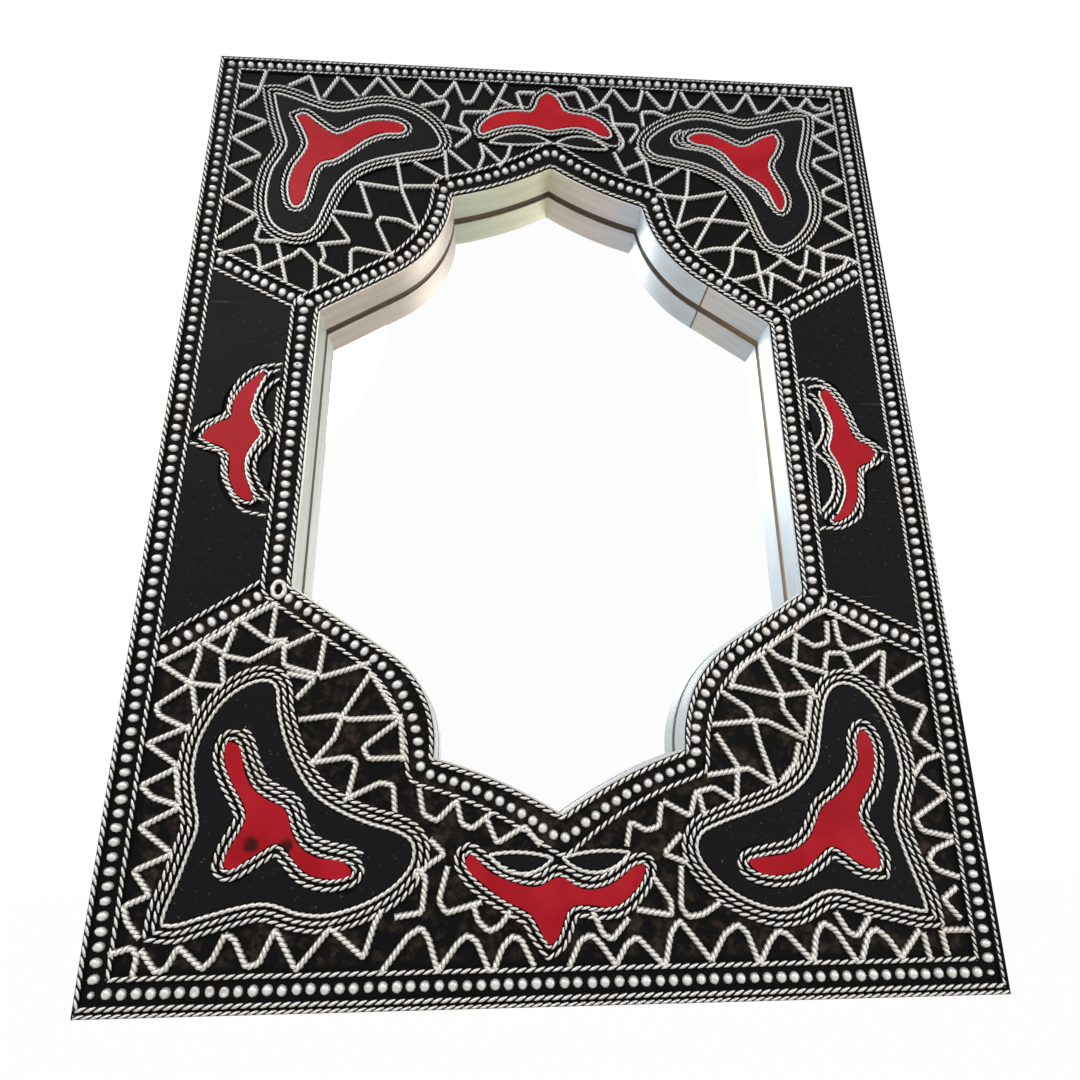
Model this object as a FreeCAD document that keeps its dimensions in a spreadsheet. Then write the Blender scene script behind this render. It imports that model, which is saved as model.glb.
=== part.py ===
import FreeCAD, Part
import math
import os
from FreeCAD import Placement, Rotation, Vector

# Wall mirror: a board frame with a lobed opening, dressed in front with wire, beads and inlays.
# Origin on the wall, at the middle of the back. X right, Z up, the front faces -Y. Millimetres.

driving = {
    # frame
    "frame_width": 240.0,
    "frame_height": 312.0,
    "back_thickness": 3.0,
    "batten_depth": 7.0,
    "board_thickness": 11.0,
    "ground_thickness": 1.0,
    # opening, set in from the edges; the bend of its edge and of its rows beside the apex
    "side_margin": 44.3,
    "end_margin": 46.3,
    "apex_sag": 1.4,
    "row_sag": 1.8,
    # liner sheet on the wall of the opening
    "liner_thickness": 0.5,
    "liner_bare_strip": 1.6,
    "liner_proud": 0.3,
    # pane in its rebate
    "pane_lap": 6.0,
    "pane_clearance": 0.75,
    "pane_thickness": 3.0,
    # nails of the back board
    "nail_inset": 14.0,
    "nail_diameter": 1.2,
    "nail_bite": 5.0,
    "nail_head": 2.6,
    "nail_head_height": 0.6,
    "nail_sink": 0.1,
    "fit_clearance": 0.02,
    # twisted wires and beads
    "rope_width": 1.4,
    "rope_height": 1.35,
    "rope_pitch": 1.8,
    "edge_wire_width": 1.1,
    "edge_wire_height": 0.9,
    "filigree_width": 1.5,
    "filigree_height": 1.4,
    "bead_radius": 1.45,
    "bead_pitch": 3.42,
    "wide_bead_pitch": 3.53,
    # border: how far its ropes and its bead row lie in from each edge, and the lean of their right runs
    "outer_rope_left": 1.1,
    "outer_rope_right": 2.5,
    "outer_rope_top": 1.85,
    "outer_rope_bottom": 2.3,
    "bead_row_left": 4.2,
    "bead_row_right": 5.7,
    "bead_row_top": 4.15,
    "bead_row_bottom": 5.4,
    "inner_rope_left": 7.8,
    "inner_rope_right": 9.1,
    "inner_rope_top": 6.85,
    "inner_rope_bottom": 8.75,
    "right_lean": 0.9,
    "edge_wire_inset": 0.65,
    # rows round the opening, stepped out from its edge or its row line, and the ropes beside the slanted rows
    "opening_wire_step": 1.25,
    "opening_bead_step": 4.35,
    "opening_outer_step": 7.7,
    "slant_wire_step": 3.4,
    # smooth fields
    "panel_thickness": 0.9,
    "inlay_thickness": 1.0,
    "field_gap": 0.1,
    # almond cells beside the inlays in the middle of each side
    "almond_bulge": 3.0,
    "almond_belly": 0.7,
    # hanger in its pocket
    "pocket_width": 30.0,
    "pocket_height": 29.0,
    "pocket_depth": 6.0,
    "strap_width": 12.0,
    "strap_length": 11.0,
    "strap_thickness": 0.8,
    "ring_wire": 1.8,
    "ring_half_base": 9.0,
    "ring_rise": 12.0,
    "ring_corner": 2.4,
    "ring_lean": 2.6,
    "knuckle_clearance": 0.08,
    "screw_diameter": 1.6,
    "screw_head": 3.2,
    "screw_head_height": 0.7,
    "screw_length": 3.4,
    "screw_spacing": 6.0,
    "screw_drop": 6.0,
}

doc = FreeCAD.newDocument("wall_mirror")
sheet = doc.addObject("Spreadsheet::Sheet", "sizes")
for row, (alias, value) in enumerate(driving.items(), start=1):
    sheet.set(f"A{row}", alias)
    sheet.set(f"B{row}", str(value))
    sheet.setAlias(f"B{row}", alias)
doc.recompute()


def mm(alias):
    return float(sheet.get(alias))


corners = {"top_left": (-1, 1), "top_right": (1, 1), "bottom_left": (-1, -1), "bottom_right": (1, -1)}
sides = ("top", "bottom", "left", "right")
half_width = mm("frame_width") / 2
half_height = mm("frame_height") / 2
depths = ("back_thickness", "batten_depth", "board_thickness", "ground_thickness")
ground_front = sum(mm(name) for name in depths)
upright = Rotation(Vector(1, 0, 0), 90)
curve_tolerance = 0.1
nodes = []


# Objects of the document


def keep(solid, label):
    solid.Label = label
    nodes.append(solid)
    return solid


def layer(label, outline, height, stands_at):
    """A plate of one outline, drawn in the plane of the front and raised towards the viewer."""
    drawing = doc.addObject("Part::Feature", label + "_outline")
    drawing.Shape = outline
    plate = doc.addObject("Part::Extrusion", label)
    plate.Base = drawing
    plate.DirMode = "Custom"
    plate.Dir = Vector(0, 0, 1)
    plate.Solid = True
    plate.Placement = Placement(Vector(0, 0, 0), upright)
    plate.setExpression("LengthFwd", height)
    plate.setExpression("Placement.Base.y", f"-({stands_at})")
    return keep(plate, label)


def box(name, length, width, height, x, y, z):
    block = doc.addObject("Part::Box", name)
    for key, text in (("Length", length), ("Width", width), ("Height", height)):
        block.setExpression(key, text)
    for key, text in (("x", x), ("y", y), ("z", z)):
        block.setExpression("Placement.Base." + key, text)
    return block


def rod(name, radius, height, place, turn):
    bar = doc.addObject("Part::Cylinder", name)
    bar.Placement = Placement(Vector(0, 0, 0), turn)
    bar.setExpression("Radius", radius)
    bar.setExpression("Height", height)
    for key, text in zip("xyz", place):
        bar.setExpression("Placement.Base." + key, text)
    return bar


def joined(name, pieces):
    group = doc.addObject("Part::Compound", name)
    group.Links = pieces
    return group


def cut(name, base, tool):
    rest = doc.addObject("Part::Cut", name)
    rest.Base = base
    rest.Tool = tool
    return rest


# Outlines in the plane of the front


def smooth(points):
    curve = Part.BSplineCurve()
    curve.interpolate([Vector(*point) for point in points])
    return [arc.toShape() for arc in curve.toBiArcs(curve_tolerance)]


def grown(wire, step):
    return Part.Face(wire.makeOffset2D(step) if step else wire)


def loop(wire, centre):
    """A closed strip one rope wide whose middle runs beside a wire."""
    half = mm("rope_width") / 2
    return grown(wire, centre + half).cut(grown(wire, centre - half))


def rectangle(left, right, top, bottom, lean=0):
    """The frame's outline, set in by so much at each side, its right side leaning in at the top."""
    low = Vector(left - half_width, bottom - half_height)
    high = Vector(half_width - right, half_height - top)
    ring = [low, Vector(high.x + lean, low.y), Vector(high.x - lean, high.y), Vector(low.x, high.y), low]
    return Part.makePolygon(ring)


def border(row, step=0):
    """The line of one of the border's rows, stepped in towards the middle."""
    insets = [mm(f"{row}_{side}") + step for side in ("left", "right", "top", "bottom")]
    return rectangle(*insets, mm("right_lean"))


def strip(start, end, width):
    """A straight strip with square ends that reach half its width past both points."""
    along = (end - start).normalize()
    across = Vector(-along.y, along.x) * (width / 2)
    over = along * (width / 2)
    first = start - over
    last = end + over
    ring = [first + across, first - across, last - across, last + across, first + across]
    return Part.Face(Part.makePolygon(ring))


def tangent_arc(start, touch, toward):
    """An arc from start that arrives at touch along the line from touch to toward."""
    heading = (toward - touch).normalize()
    normal = Vector(-heading.y, heading.x)
    chord = start - touch
    radius = chord.dot(chord) / (2 * chord.dot(normal))
    centre = touch + normal * radius
    middle = ((start + touch) * 0.5 - centre).normalize() * abs(radius)
    return Part.Arc(start, centre + middle, touch).toShape()


def sagging_arc(start, end, sag):
    """An arc whose middle lies a little nearer to the middle of the frame than its chord."""
    chord = end - start
    normal = Vector(-chord.y, chord.x).normalize()
    middle = (start + end) * 0.5
    if normal.dot(middle) > 0:
        normal = normal * -1
    return Part.Arc(start, middle + normal * sag, end).toShape()


opening_half_width = half_width - mm("side_margin")
opening_half_height = half_height - mm("end_margin")

# Apex, cusp, knee and shoulder in each quarter of the opening, and of the line that its rows follow, drawn
# in millimetres from the middle for an opening of this size and stretched to the opening

drawn_half_width = 75.7
drawn_half_height = 109.7
edge_corners = {
    "top_left": [(1.6, 109.7), (-33.2, 95.4), (-52.2, 62.1), (-75.6, 47.4)],
    "top_right": [(1.6, 109.7), (33.6, 94.1), (53.3, 62.9), (75.2, 47.4)],
    "bottom_left": [(1.6, -109.7), (-33.3, -94.8), (-47, -65.5), (-76.1, -46.3)],
    "bottom_right": [(1.6, -109.7), (36.4, -92.8), (52.6, -62), (75.7, -46.8)],
}
row_corners = {
    "top_left": [(1.6, 112.7), (-32.5, 96.9), (-53.8, 60.6), (-76.6, 47)],
    "top_right": [(1.6, 112.7), (34.7, 95.8), (54.1, 62.3), (74.5, 47.1)],
    "bottom_left": [(1.6, -111.5), (-33.3, -95), (-51.9, -61.5), (-77, -44.6)],
    "bottom_right": [(1.6, -111.5), (35.5, -93.4), (52.9, -60.9), (75.4, -46.2)],
}


def corner_point(drawn):
    x, z = drawn
    return Vector(x / drawn_half_width * opening_half_width, z / drawn_half_height * opening_half_height)


def lobed(quarters, sag):
    """A closed line with a pointed apex, two cusps and two rounded lobes at each end."""
    edges = []
    for drawn in quarters.values():
        apex, cusp, knee, shoulder = [corner_point(point) for point in drawn]
        edges.append(sagging_arc(apex, cusp, sag))
        edges.append(tangent_arc(cusp, knee, shoulder))
        edges.append(Part.LineSegment(knee, shoulder).toShape())
    for side in ("left", "right"):
        ends = [corner_point(quarters[f"{level}_{side}"][-1]) for level in ("top", "bottom")]
        edges.append(Part.LineSegment(*ends).toShape())
    return Part.Wire(Part.__sortEdges__(edges))


opening = lobed(edge_corners, mm("apex_sag"))
row_line = lobed(row_corners, mm("row_sag"))
sawn = opening.makeOffset2D(mm("liner_thickness"))
frame_face = Part.Face(rectangle(0, 0, 0, 0)).cut(Part.Face(sawn))

# Board, ground and liner

board_back = "sizes.back_thickness + sizes.batten_depth"
layer("front_board", frame_face, "sizes.board_thickness", board_back)
layer("black_ground", frame_face, "sizes.ground_thickness", f"{board_back} + sizes.board_thickness")

liner_ring = Part.Face(sawn).cut(Part.Face(opening))
liner_height = (
    "sizes.board_thickness + sizes.ground_thickness + sizes.liner_proud - sizes.liner_bare_strip"
)
liner_foot = f"{board_back} + sizes.liner_bare_strip"


def sector(first, second):
    """A wedge from the middle of the frame that spans the liner between two corners of the opening."""
    reach = mm("frame_width") + mm("frame_height")
    outer = [Vector(point).normalize() * reach for point in (first, second)]
    return Part.Face(Part.makePolygon([Vector(), outer[0], outer[1], Vector()]))


for corner, drawn in edge_corners.items():
    apex, cusp, _, shoulder = [corner_point(point) for point in drawn]
    layer(f"liner_apex_{corner}", liner_ring.common(sector(apex, cusp)), liner_height, liner_foot)
    layer(f"liner_lobe_{corner}", liner_ring.common(sector(cusp, shoulder)), liner_height, liner_foot)
for side in ("left", "right"):
    upper, lower = [corner_point(edge_corners[f"{level}_{side}"][-1]) for level in ("top", "bottom")]
    layer(f"liner_side_{side}", liner_ring.common(sector(upper, lower)), liner_height, liner_foot)

# Battens, pane, packing, back board and its nails

pane_width = "(sizes.frame_width - 2 * sizes.side_margin + 2 * sizes.pane_lap)"
pane_height = "(sizes.frame_height - 2 * sizes.end_margin + 2 * sizes.pane_lap)"
rebate_width = f"({pane_width} + 2 * sizes.pane_clearance)"
rebate_height = f"({pane_height} + 2 * sizes.pane_clearance)"
rail = f"((sizes.frame_height - {rebate_height}) / 2)"
stile = f"((sizes.frame_width - {rebate_width}) / 2)"
batten_y = f"-({board_back})"
along_x = Rotation(Vector(0, 1, 0), 90)
hinge_z = f"({rebate_height} / 2 + {rail} / 2)"
knuckle_bore = "(sizes.ring_wire / 2 + sizes.knuckle_clearance)"
knuckle_radius = f"({knuckle_bore} + sizes.strap_thickness)"
hinge_y = f"(-sizes.pocket_depth + {knuckle_radius})"
screw_z = f"({hinge_z} - sizes.screw_drop)"

batten_boxes = {
    "top": ("sizes.frame_width", rail, "-sizes.frame_width / 2", f"{rebate_height} / 2"),
    "bottom": ("sizes.frame_width", rail, "-sizes.frame_width / 2", "-sizes.frame_height / 2"),
    "left": (stile, rebate_height, "-sizes.frame_width / 2", f"-{rebate_height} / 2"),
    "right": (stile, rebate_height, f"{rebate_width} / 2", f"-{rebate_height} / 2"),
}
nail_x = "(sizes.frame_width / 2 - sizes.nail_inset)"
nail_z = "(sizes.frame_height / 2 - sizes.nail_inset)"
rail_shares = (-1, -0.36, 0.36, 1)
stile_shares = (-0.45, 0, 0.45)
nail_places = {
    "top": [(f"{share} * {nail_x}", nail_z) for share in rail_shares],
    "bottom": [(f"{share} * {nail_x}", f"-{nail_z}") for share in rail_shares],
    "left": [(f"-{nail_x}", f"{share} * {nail_z}") for share in stile_shares],
    "right": [(nail_x, f"{share} * {nail_z}") for share in stile_shares],
}
all_places = [place for side in sides for place in nail_places[side]]


def rods(name, places, radius, start, length):
    """Round bars at several places on the back, from a depth towards the front."""
    return [rod(name, radius, length, (x, start, z), upright) for x, z in places]


screw_places = [(f"{sign} * sizes.screw_spacing / 2", screw_z) for sign in (-1, 1)]
screw_start = "-sizes.pocket_depth + sizes.strap_thickness"
screw_reach = "sizes.screw_length + sizes.strap_thickness"
screw_hole = "sizes.screw_diameter / 2 + sizes.fit_clearance"
nail_hole = "sizes.nail_diameter / 2 + sizes.fit_clearance"
head_hole = "sizes.nail_head / 2 + sizes.fit_clearance"
pocket = box(
    "hanger_pocket",
    "sizes.pocket_width",
    "sizes.pocket_depth",
    "sizes.pocket_height",
    "-sizes.pocket_width / 2",
    "-sizes.pocket_depth",
    f"{hinge_z} - sizes.pocket_height / 2",
)

for side in sides:
    length, height, x, z = batten_boxes[side]
    bar = box(f"{side}_bar", length, "sizes.batten_depth", height, x, batten_y, z)
    tools = rods(f"{side}_hole", nail_places[side], nail_hole, "-sizes.back_thickness", "sizes.nail_bite")
    if side == "top":
        tools += [pocket] + rods("screw_hole", screw_places, screw_hole, screw_start, screw_reach)
    keep(cut(f"batten_{side}", bar, joined(f"{side}_cuts", tools)), f"batten_{side}")

pane_x = f"-{pane_width} / 2"
pane_z = f"-{pane_height} / 2"
pane = box("mirror_pane", pane_width, "sizes.pane_thickness", pane_height, pane_x, batten_y, pane_z)
keep(pane, "mirror_pane")
packing_depth = "sizes.batten_depth - sizes.pane_thickness"
packing_y = f"{batten_y} + sizes.pane_thickness"
packing = box("packing_board", pane_width, packing_depth, pane_height, pane_x, packing_y, pane_z)
keep(packing, "packing_board")

back = box(
    "back_sheet",
    "sizes.frame_width",
    "sizes.back_thickness",
    "sizes.frame_height",
    "-sizes.frame_width / 2",
    "-sizes.back_thickness",
    "-sizes.frame_height / 2",
)
back_holes = rods("back_hole", all_places, nail_hole, "0", "sizes.back_thickness")
back_holes += rods("head_hole", all_places, head_hole, "0", "sizes.nail_sink + sizes.nail_head_height")
keep(cut("back_board", back, joined("back_cuts", [pocket] + back_holes)), "back_board")

nail_reach = "sizes.back_thickness + sizes.nail_bite - sizes.nail_sink"
shanks = rods("nail_shank", all_places, "sizes.nail_diameter / 2", "-sizes.nail_sink", nail_reach)
heads = rods("nail_head", all_places, "sizes.nail_head / 2", "-sizes.nail_sink", "sizes.nail_head_height")
nails = []
for shank, head in zip(shanks, heads):
    nail = doc.addObject("Part::Fuse", "nail")
    nail.Base = shank
    nail.Tool = head
    nails.append(nail)
keep(joined("back_nails", nails), "back_nails")

# Hanger: a strap with a rolled knuckle, two screws and a swinging wire ring

strap = box(
    "strap",
    "sizes.strap_width",
    "sizes.strap_thickness",
    "sizes.strap_length",
    "-sizes.strap_width / 2",
    "-sizes.pocket_depth",
    f"{hinge_z} - sizes.strap_length",
)
knuckle = rod(
    "knuckle", knuckle_radius, "sizes.strap_width", ("-sizes.strap_width / 2", hinge_y, hinge_z), along_x
)
rolled = doc.addObject("Part::Fuse", "rolled_strap")
rolled.Base = strap
rolled.Tool = knuckle
bore = rod(
    "knuckle_bore", knuckle_bore, "sizes.strap_width", ("-sizes.strap_width / 2", hinge_y, hinge_z), along_x
)
strap_holes = rods("strap_hole", screw_places, screw_hole, screw_start, "sizes.strap_thickness")
keep(cut("hanger_plate", rolled, joined("hanger_cuts", [bore] + strap_holes)), "hanger_plate")

screws = []
for shank in rods("screw_shank", screw_places, "sizes.screw_diameter / 2", screw_start, screw_reach):
    head = doc.addObject("Part::Cone", "screw_head")
    head.Placement = Placement(Vector(0, 0, 0), Rotation(Vector(1, 0, 0), -90))
    head.setExpression("Radius1", "sizes.screw_head / 2")
    head.setExpression("Radius2", "sizes.screw_diameter / 2")
    head.setExpression("Height", "sizes.screw_head_height")
    for key in "xyz":
        head.setExpression("Placement.Base." + key, f"{shank.Name}.Placement.Base.{key}")
    screw = doc.addObject("Part::Fuse", "screw")
    screw.Base = shank
    screw.Tool = head
    screws.append(screw)
keep(joined("hanger_screws", screws), "hanger_screws")


def ring_shape():
    """A wire bent to a triangle with round corners, its base on the X axis, standing up along Z."""
    bend = mm("ring_corner")
    base = mm("ring_half_base") - bend
    top = mm("ring_rise") - bend
    corner_points = [Vector(-base, 0, bend), Vector(base, 0, bend), Vector(0, 0, top), Vector(-base, 0, bend)]
    path = Part.makePolygon(corner_points).makeOffset2D(bend)
    first = path.Edges[0]
    start = first.valueAt(first.FirstParameter)
    heading = first.tangentAt(first.FirstParameter)
    section = Part.Wire(Part.makeCircle(mm("ring_wire") / 2, start, heading))
    tube = path.makePipeShell([section], True, True)
    expected = math.pi * (mm("ring_wire") / 2) ** 2 * path.Length
    if abs(tube.Volume / expected - 1) > 0.01:
        raise RuntimeError("the ring's volume is not that of its wire")
    return tube


ring = doc.addObject("Part::Feature", "hanger_ring")
ring.Shape = ring_shape()
ring.Placement = Placement(Vector(0, 0, 0), Rotation(Vector(1, 0, 0), mm("ring_lean")))
ring.setExpression("Placement.Base.y", hinge_y)
ring.setExpression("Placement.Base.z", hinge_z)
keep(ring, "hanger_ring")

# Front: borders

on_ground = f"{board_back} + sizes.board_thickness + sizes.ground_thickness"
rope_rise = "sizes.rope_height"
rim = Vector(half_width - mm("edge_wire_inset"), half_height - mm("edge_wire_inset"))
rim_bottom = strip(Vector(-rim.x, -rim.y), Vector(rim.x, -rim.y), mm("edge_wire_width"))
layer("edge_wire", rim_bottom, "sizes.edge_wire_height", on_ground)
layer("border_wire_outer", loop(border("outer_rope"), 0), rope_rise, on_ground)
layer("border_wire_inner", loop(border("inner_rope"), 0), rope_rise, on_ground)
layer("opening_wire_inner", loop(opening, mm("opening_wire_step")), rope_rise, on_ground)
layer("opening_wire_outer", loop(row_line, mm("opening_outer_step")), rope_rise, on_ground)

half_rope = mm("rope_width") / 2
opening_band = grown(row_line, mm("opening_outer_step") + half_rope + mm("field_gap"))
field = Part.Face(border("inner_rope", half_rope + mm("field_gap"))).cut(opening_band)


def bead_row(label, points):
    """Half round beads that stand on the ground."""
    dome = Part.makeSphere(mm("bead_radius"), Vector(), Vector(0, 0, 1), 0, 90, 360)
    row = doc.addObject("Part::Feature", label)
    row.Shape = Part.makeCompound([dome.translated(point) for point in points])
    row.Placement = Placement(Vector(0, -ground_front, 0), upright)
    return keep(row, label)


def spaced(wire, pitch):
    count = round(wire.Length / mm(pitch))
    return wire.discretize(count + 1)[:-1]


border_pitches = {"bottom": "wide_bead_pitch", "right": "bead_pitch", "top": "wide_bead_pitch",
                  "left": "wide_bead_pitch"}
border_points = []
for edge, pitch in zip(border("bead_row").Edges, border_pitches.values()):
    border_points += spaced(Part.Wire(edge), pitch)
bead_row("border_beads", border_points)
bead_row("opening_beads", spaced(row_line.makeOffset2D(mm("opening_bead_step")), "bead_pitch"))

# Drawings of the front, in millimetres from its middle on a front of this size, stretched to the frame

drawn_width = 240.0
drawn_height = 312.0
drawn_margins = {"left": 44.3, "right": 44.3, "top": 46.3, "bottom": 46.3}
wide = mm("frame_width") / drawn_width
tall = mm("frame_height") / drawn_height


def stretched(points):
    return [Vector(x * wide, z * tall) for x, z in points]


def in_margin(side, points):
    """Points between one side of the frame and the opening, stretched along it and fitted to its margin."""
    upright_side = side in ("left", "right")
    margin = mm("side_margin") if upright_side else mm("end_margin")
    fit = margin / drawn_margins[side]
    placed = []
    for x, z in points:
        if upright_side:
            depth = (drawn_width / 2 - abs(x)) * fit
            placed.append(Vector(math.copysign(half_width - depth, x), z * tall))
        else:
            depth = (drawn_height / 2 - abs(z)) * fit
            placed.append(Vector(x * wide, math.copysign(half_height - depth, z)))
    return placed


# Front: slanted rows that close the side panels, each from the outer edge to the edge of the opening

slant_heights = {
    "top_left": (70.8, 47.6),
    "top_right": (76.4, 48.6),
    "bottom_left": (70.7, 43.0),
    "bottom_right": (67.4, 46.2),
}
slant_points = []
slant_strips = []
slant_zones = []
slant_lines = {}
for corner, (across, up) in corners.items():
    outer_z, inner_z = slant_heights[corner]
    outer = Vector(across * half_width, up * outer_z * tall)
    inner = Vector(across * opening_half_width, up * inner_z * tall)
    line = Part.LineSegment(outer, inner).toShape().common(field).Edges[0]
    slant_lines[corner] = line
    along = (inner - outer).normalize()
    beside = Vector(-along.y, along.x) * mm("slant_wire_step")
    for sign in (-1, 1):
        wire = strip(outer + beside * sign, inner + beside * sign, mm("rope_width"))
        slant_strips.append(wire.common(field))
    zone_width = 2 * (mm("slant_wire_step") + half_rope + mm("field_gap"))
    slant_zones.append(strip(outer, inner, zone_width))
    room = line.Length - 2 * (mm("bead_radius") + mm("field_gap"))
    count = int(room / mm("bead_pitch")) + 1
    first = line.CenterOfMass - along * (mm("bead_pitch") * (count - 1) / 2)
    slant_points += [first + along * (mm("bead_pitch") * step) for step in range(count)]
layer("slanted_row_wires", Part.makeCompound(slant_strips), rope_rise, on_ground)
bead_row("slanted_row_beads", slant_points)
field = field.cut(slant_zones)

# Front: corner medallions with their inlays; each outline starts and ends at its tip

medallion_lines = {
    "top_left": [
        (-103.3, 141.3), (-97.5, 142), (-91, 140.2), (-84, 137.2), (-77, 135.1), (-70, 136.7),
        (-64, 138.5), (-58, 139), (-51, 137.4), (-44.5, 134), (-39, 129), (-35.8, 123.5), (-34.7, 118.3),
        (-37.6, 113.4), (-44, 111.3), (-53, 109), (-61, 106.3), (-67, 102.2), (-71.3, 95.6), (-73.8, 88),
        (-76, 80.5), (-79.5, 75.5), (-85, 73.4), (-91.5, 74.8), (-97, 79.2), (-100.2, 86.5), (-101, 95),
        (-100, 104.5), (-97.4, 111.2), (-96.1, 115.5), (-97.8, 120.8), (-99.8, 127), (-101.6, 134),
    ],
    "top_right": [
        (101.5, 140.6), (101.4, 134.5), (100, 128), (98.2, 121), (96.8, 114.5), (98.2, 108.5),
        (99.7, 102), (99.2, 95), (97.2, 88.5), (93, 82.2), (88.3, 77.8), (83, 75.4), (77.5, 77.2),
        (74.2, 82), (72, 89), (69.4, 97), (65.8, 103.2), (60.5, 107.7), (54, 110.8), (46.5, 112.5),
        (39.5, 114), (35.2, 117.3), (33.7, 122), (35.3, 127), (40, 132), (46, 135.8), (53, 138.6),
        (60, 139.2), (67, 137.7), (74.5, 135.9), (82, 137.8), (90, 140.2), (96.5, 141.4),
    ],
    "bottom_left": [
        (-104.8, -138.4), (-104.2, -131.5), (-102, -124.5), (-100, -117), (-98.7, -111.5),
        (-100.2, -105.8), (-101.6, -98.5), (-101.2, -91), (-99.3, -84.8), (-95.8, -78.4), (-90.5, -73.2),
        (-84, -70.2), (-78, -70.6), (-74.4, -74.5), (-73.2, -81), (-71.2, -87.5), (-67.8, -94.5),
        (-63.2, -100.7), (-57, -104.8), (-49.5, -107.9), (-42, -110), (-36.8, -113), (-34.5, -117.5),
        (-35.3, -123.5), (-39.5, -129), (-45.5, -133), (-53, -136), (-60.5, -137.4), (-68, -136.7),
        (-75.5, -134.5), (-82, -135.2), (-90, -137.2), (-97.5, -139),
    ],
    "bottom_right": [
        (104, -139), (103.3, -132.5), (101.8, -126.5), (99.8, -119.5), (98.4, -113), (99.8, -107),
        (102, -101.5), (102.2, -95), (101, -88), (98.6, -81.5), (95, -76), (90, -72), (84.5, -70.8),
        (79.5, -72.6), (76, -76.8), (74, -82.5), (72.5, -88.5), (70.6, -94.8), (66.5, -100), (60, -103.6),
        (52, -106.4), (44.5, -108.8), (38, -111.8), (34.9, -116.5), (35.2, -122), (38.5, -127.3),
        (44, -132.2), (51, -136), (58.5, -137.9), (66, -137.3), (73, -134), (77.5, -134), (84, -136),
        (92, -137.7), (98.5, -139),
    ],
}
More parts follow.
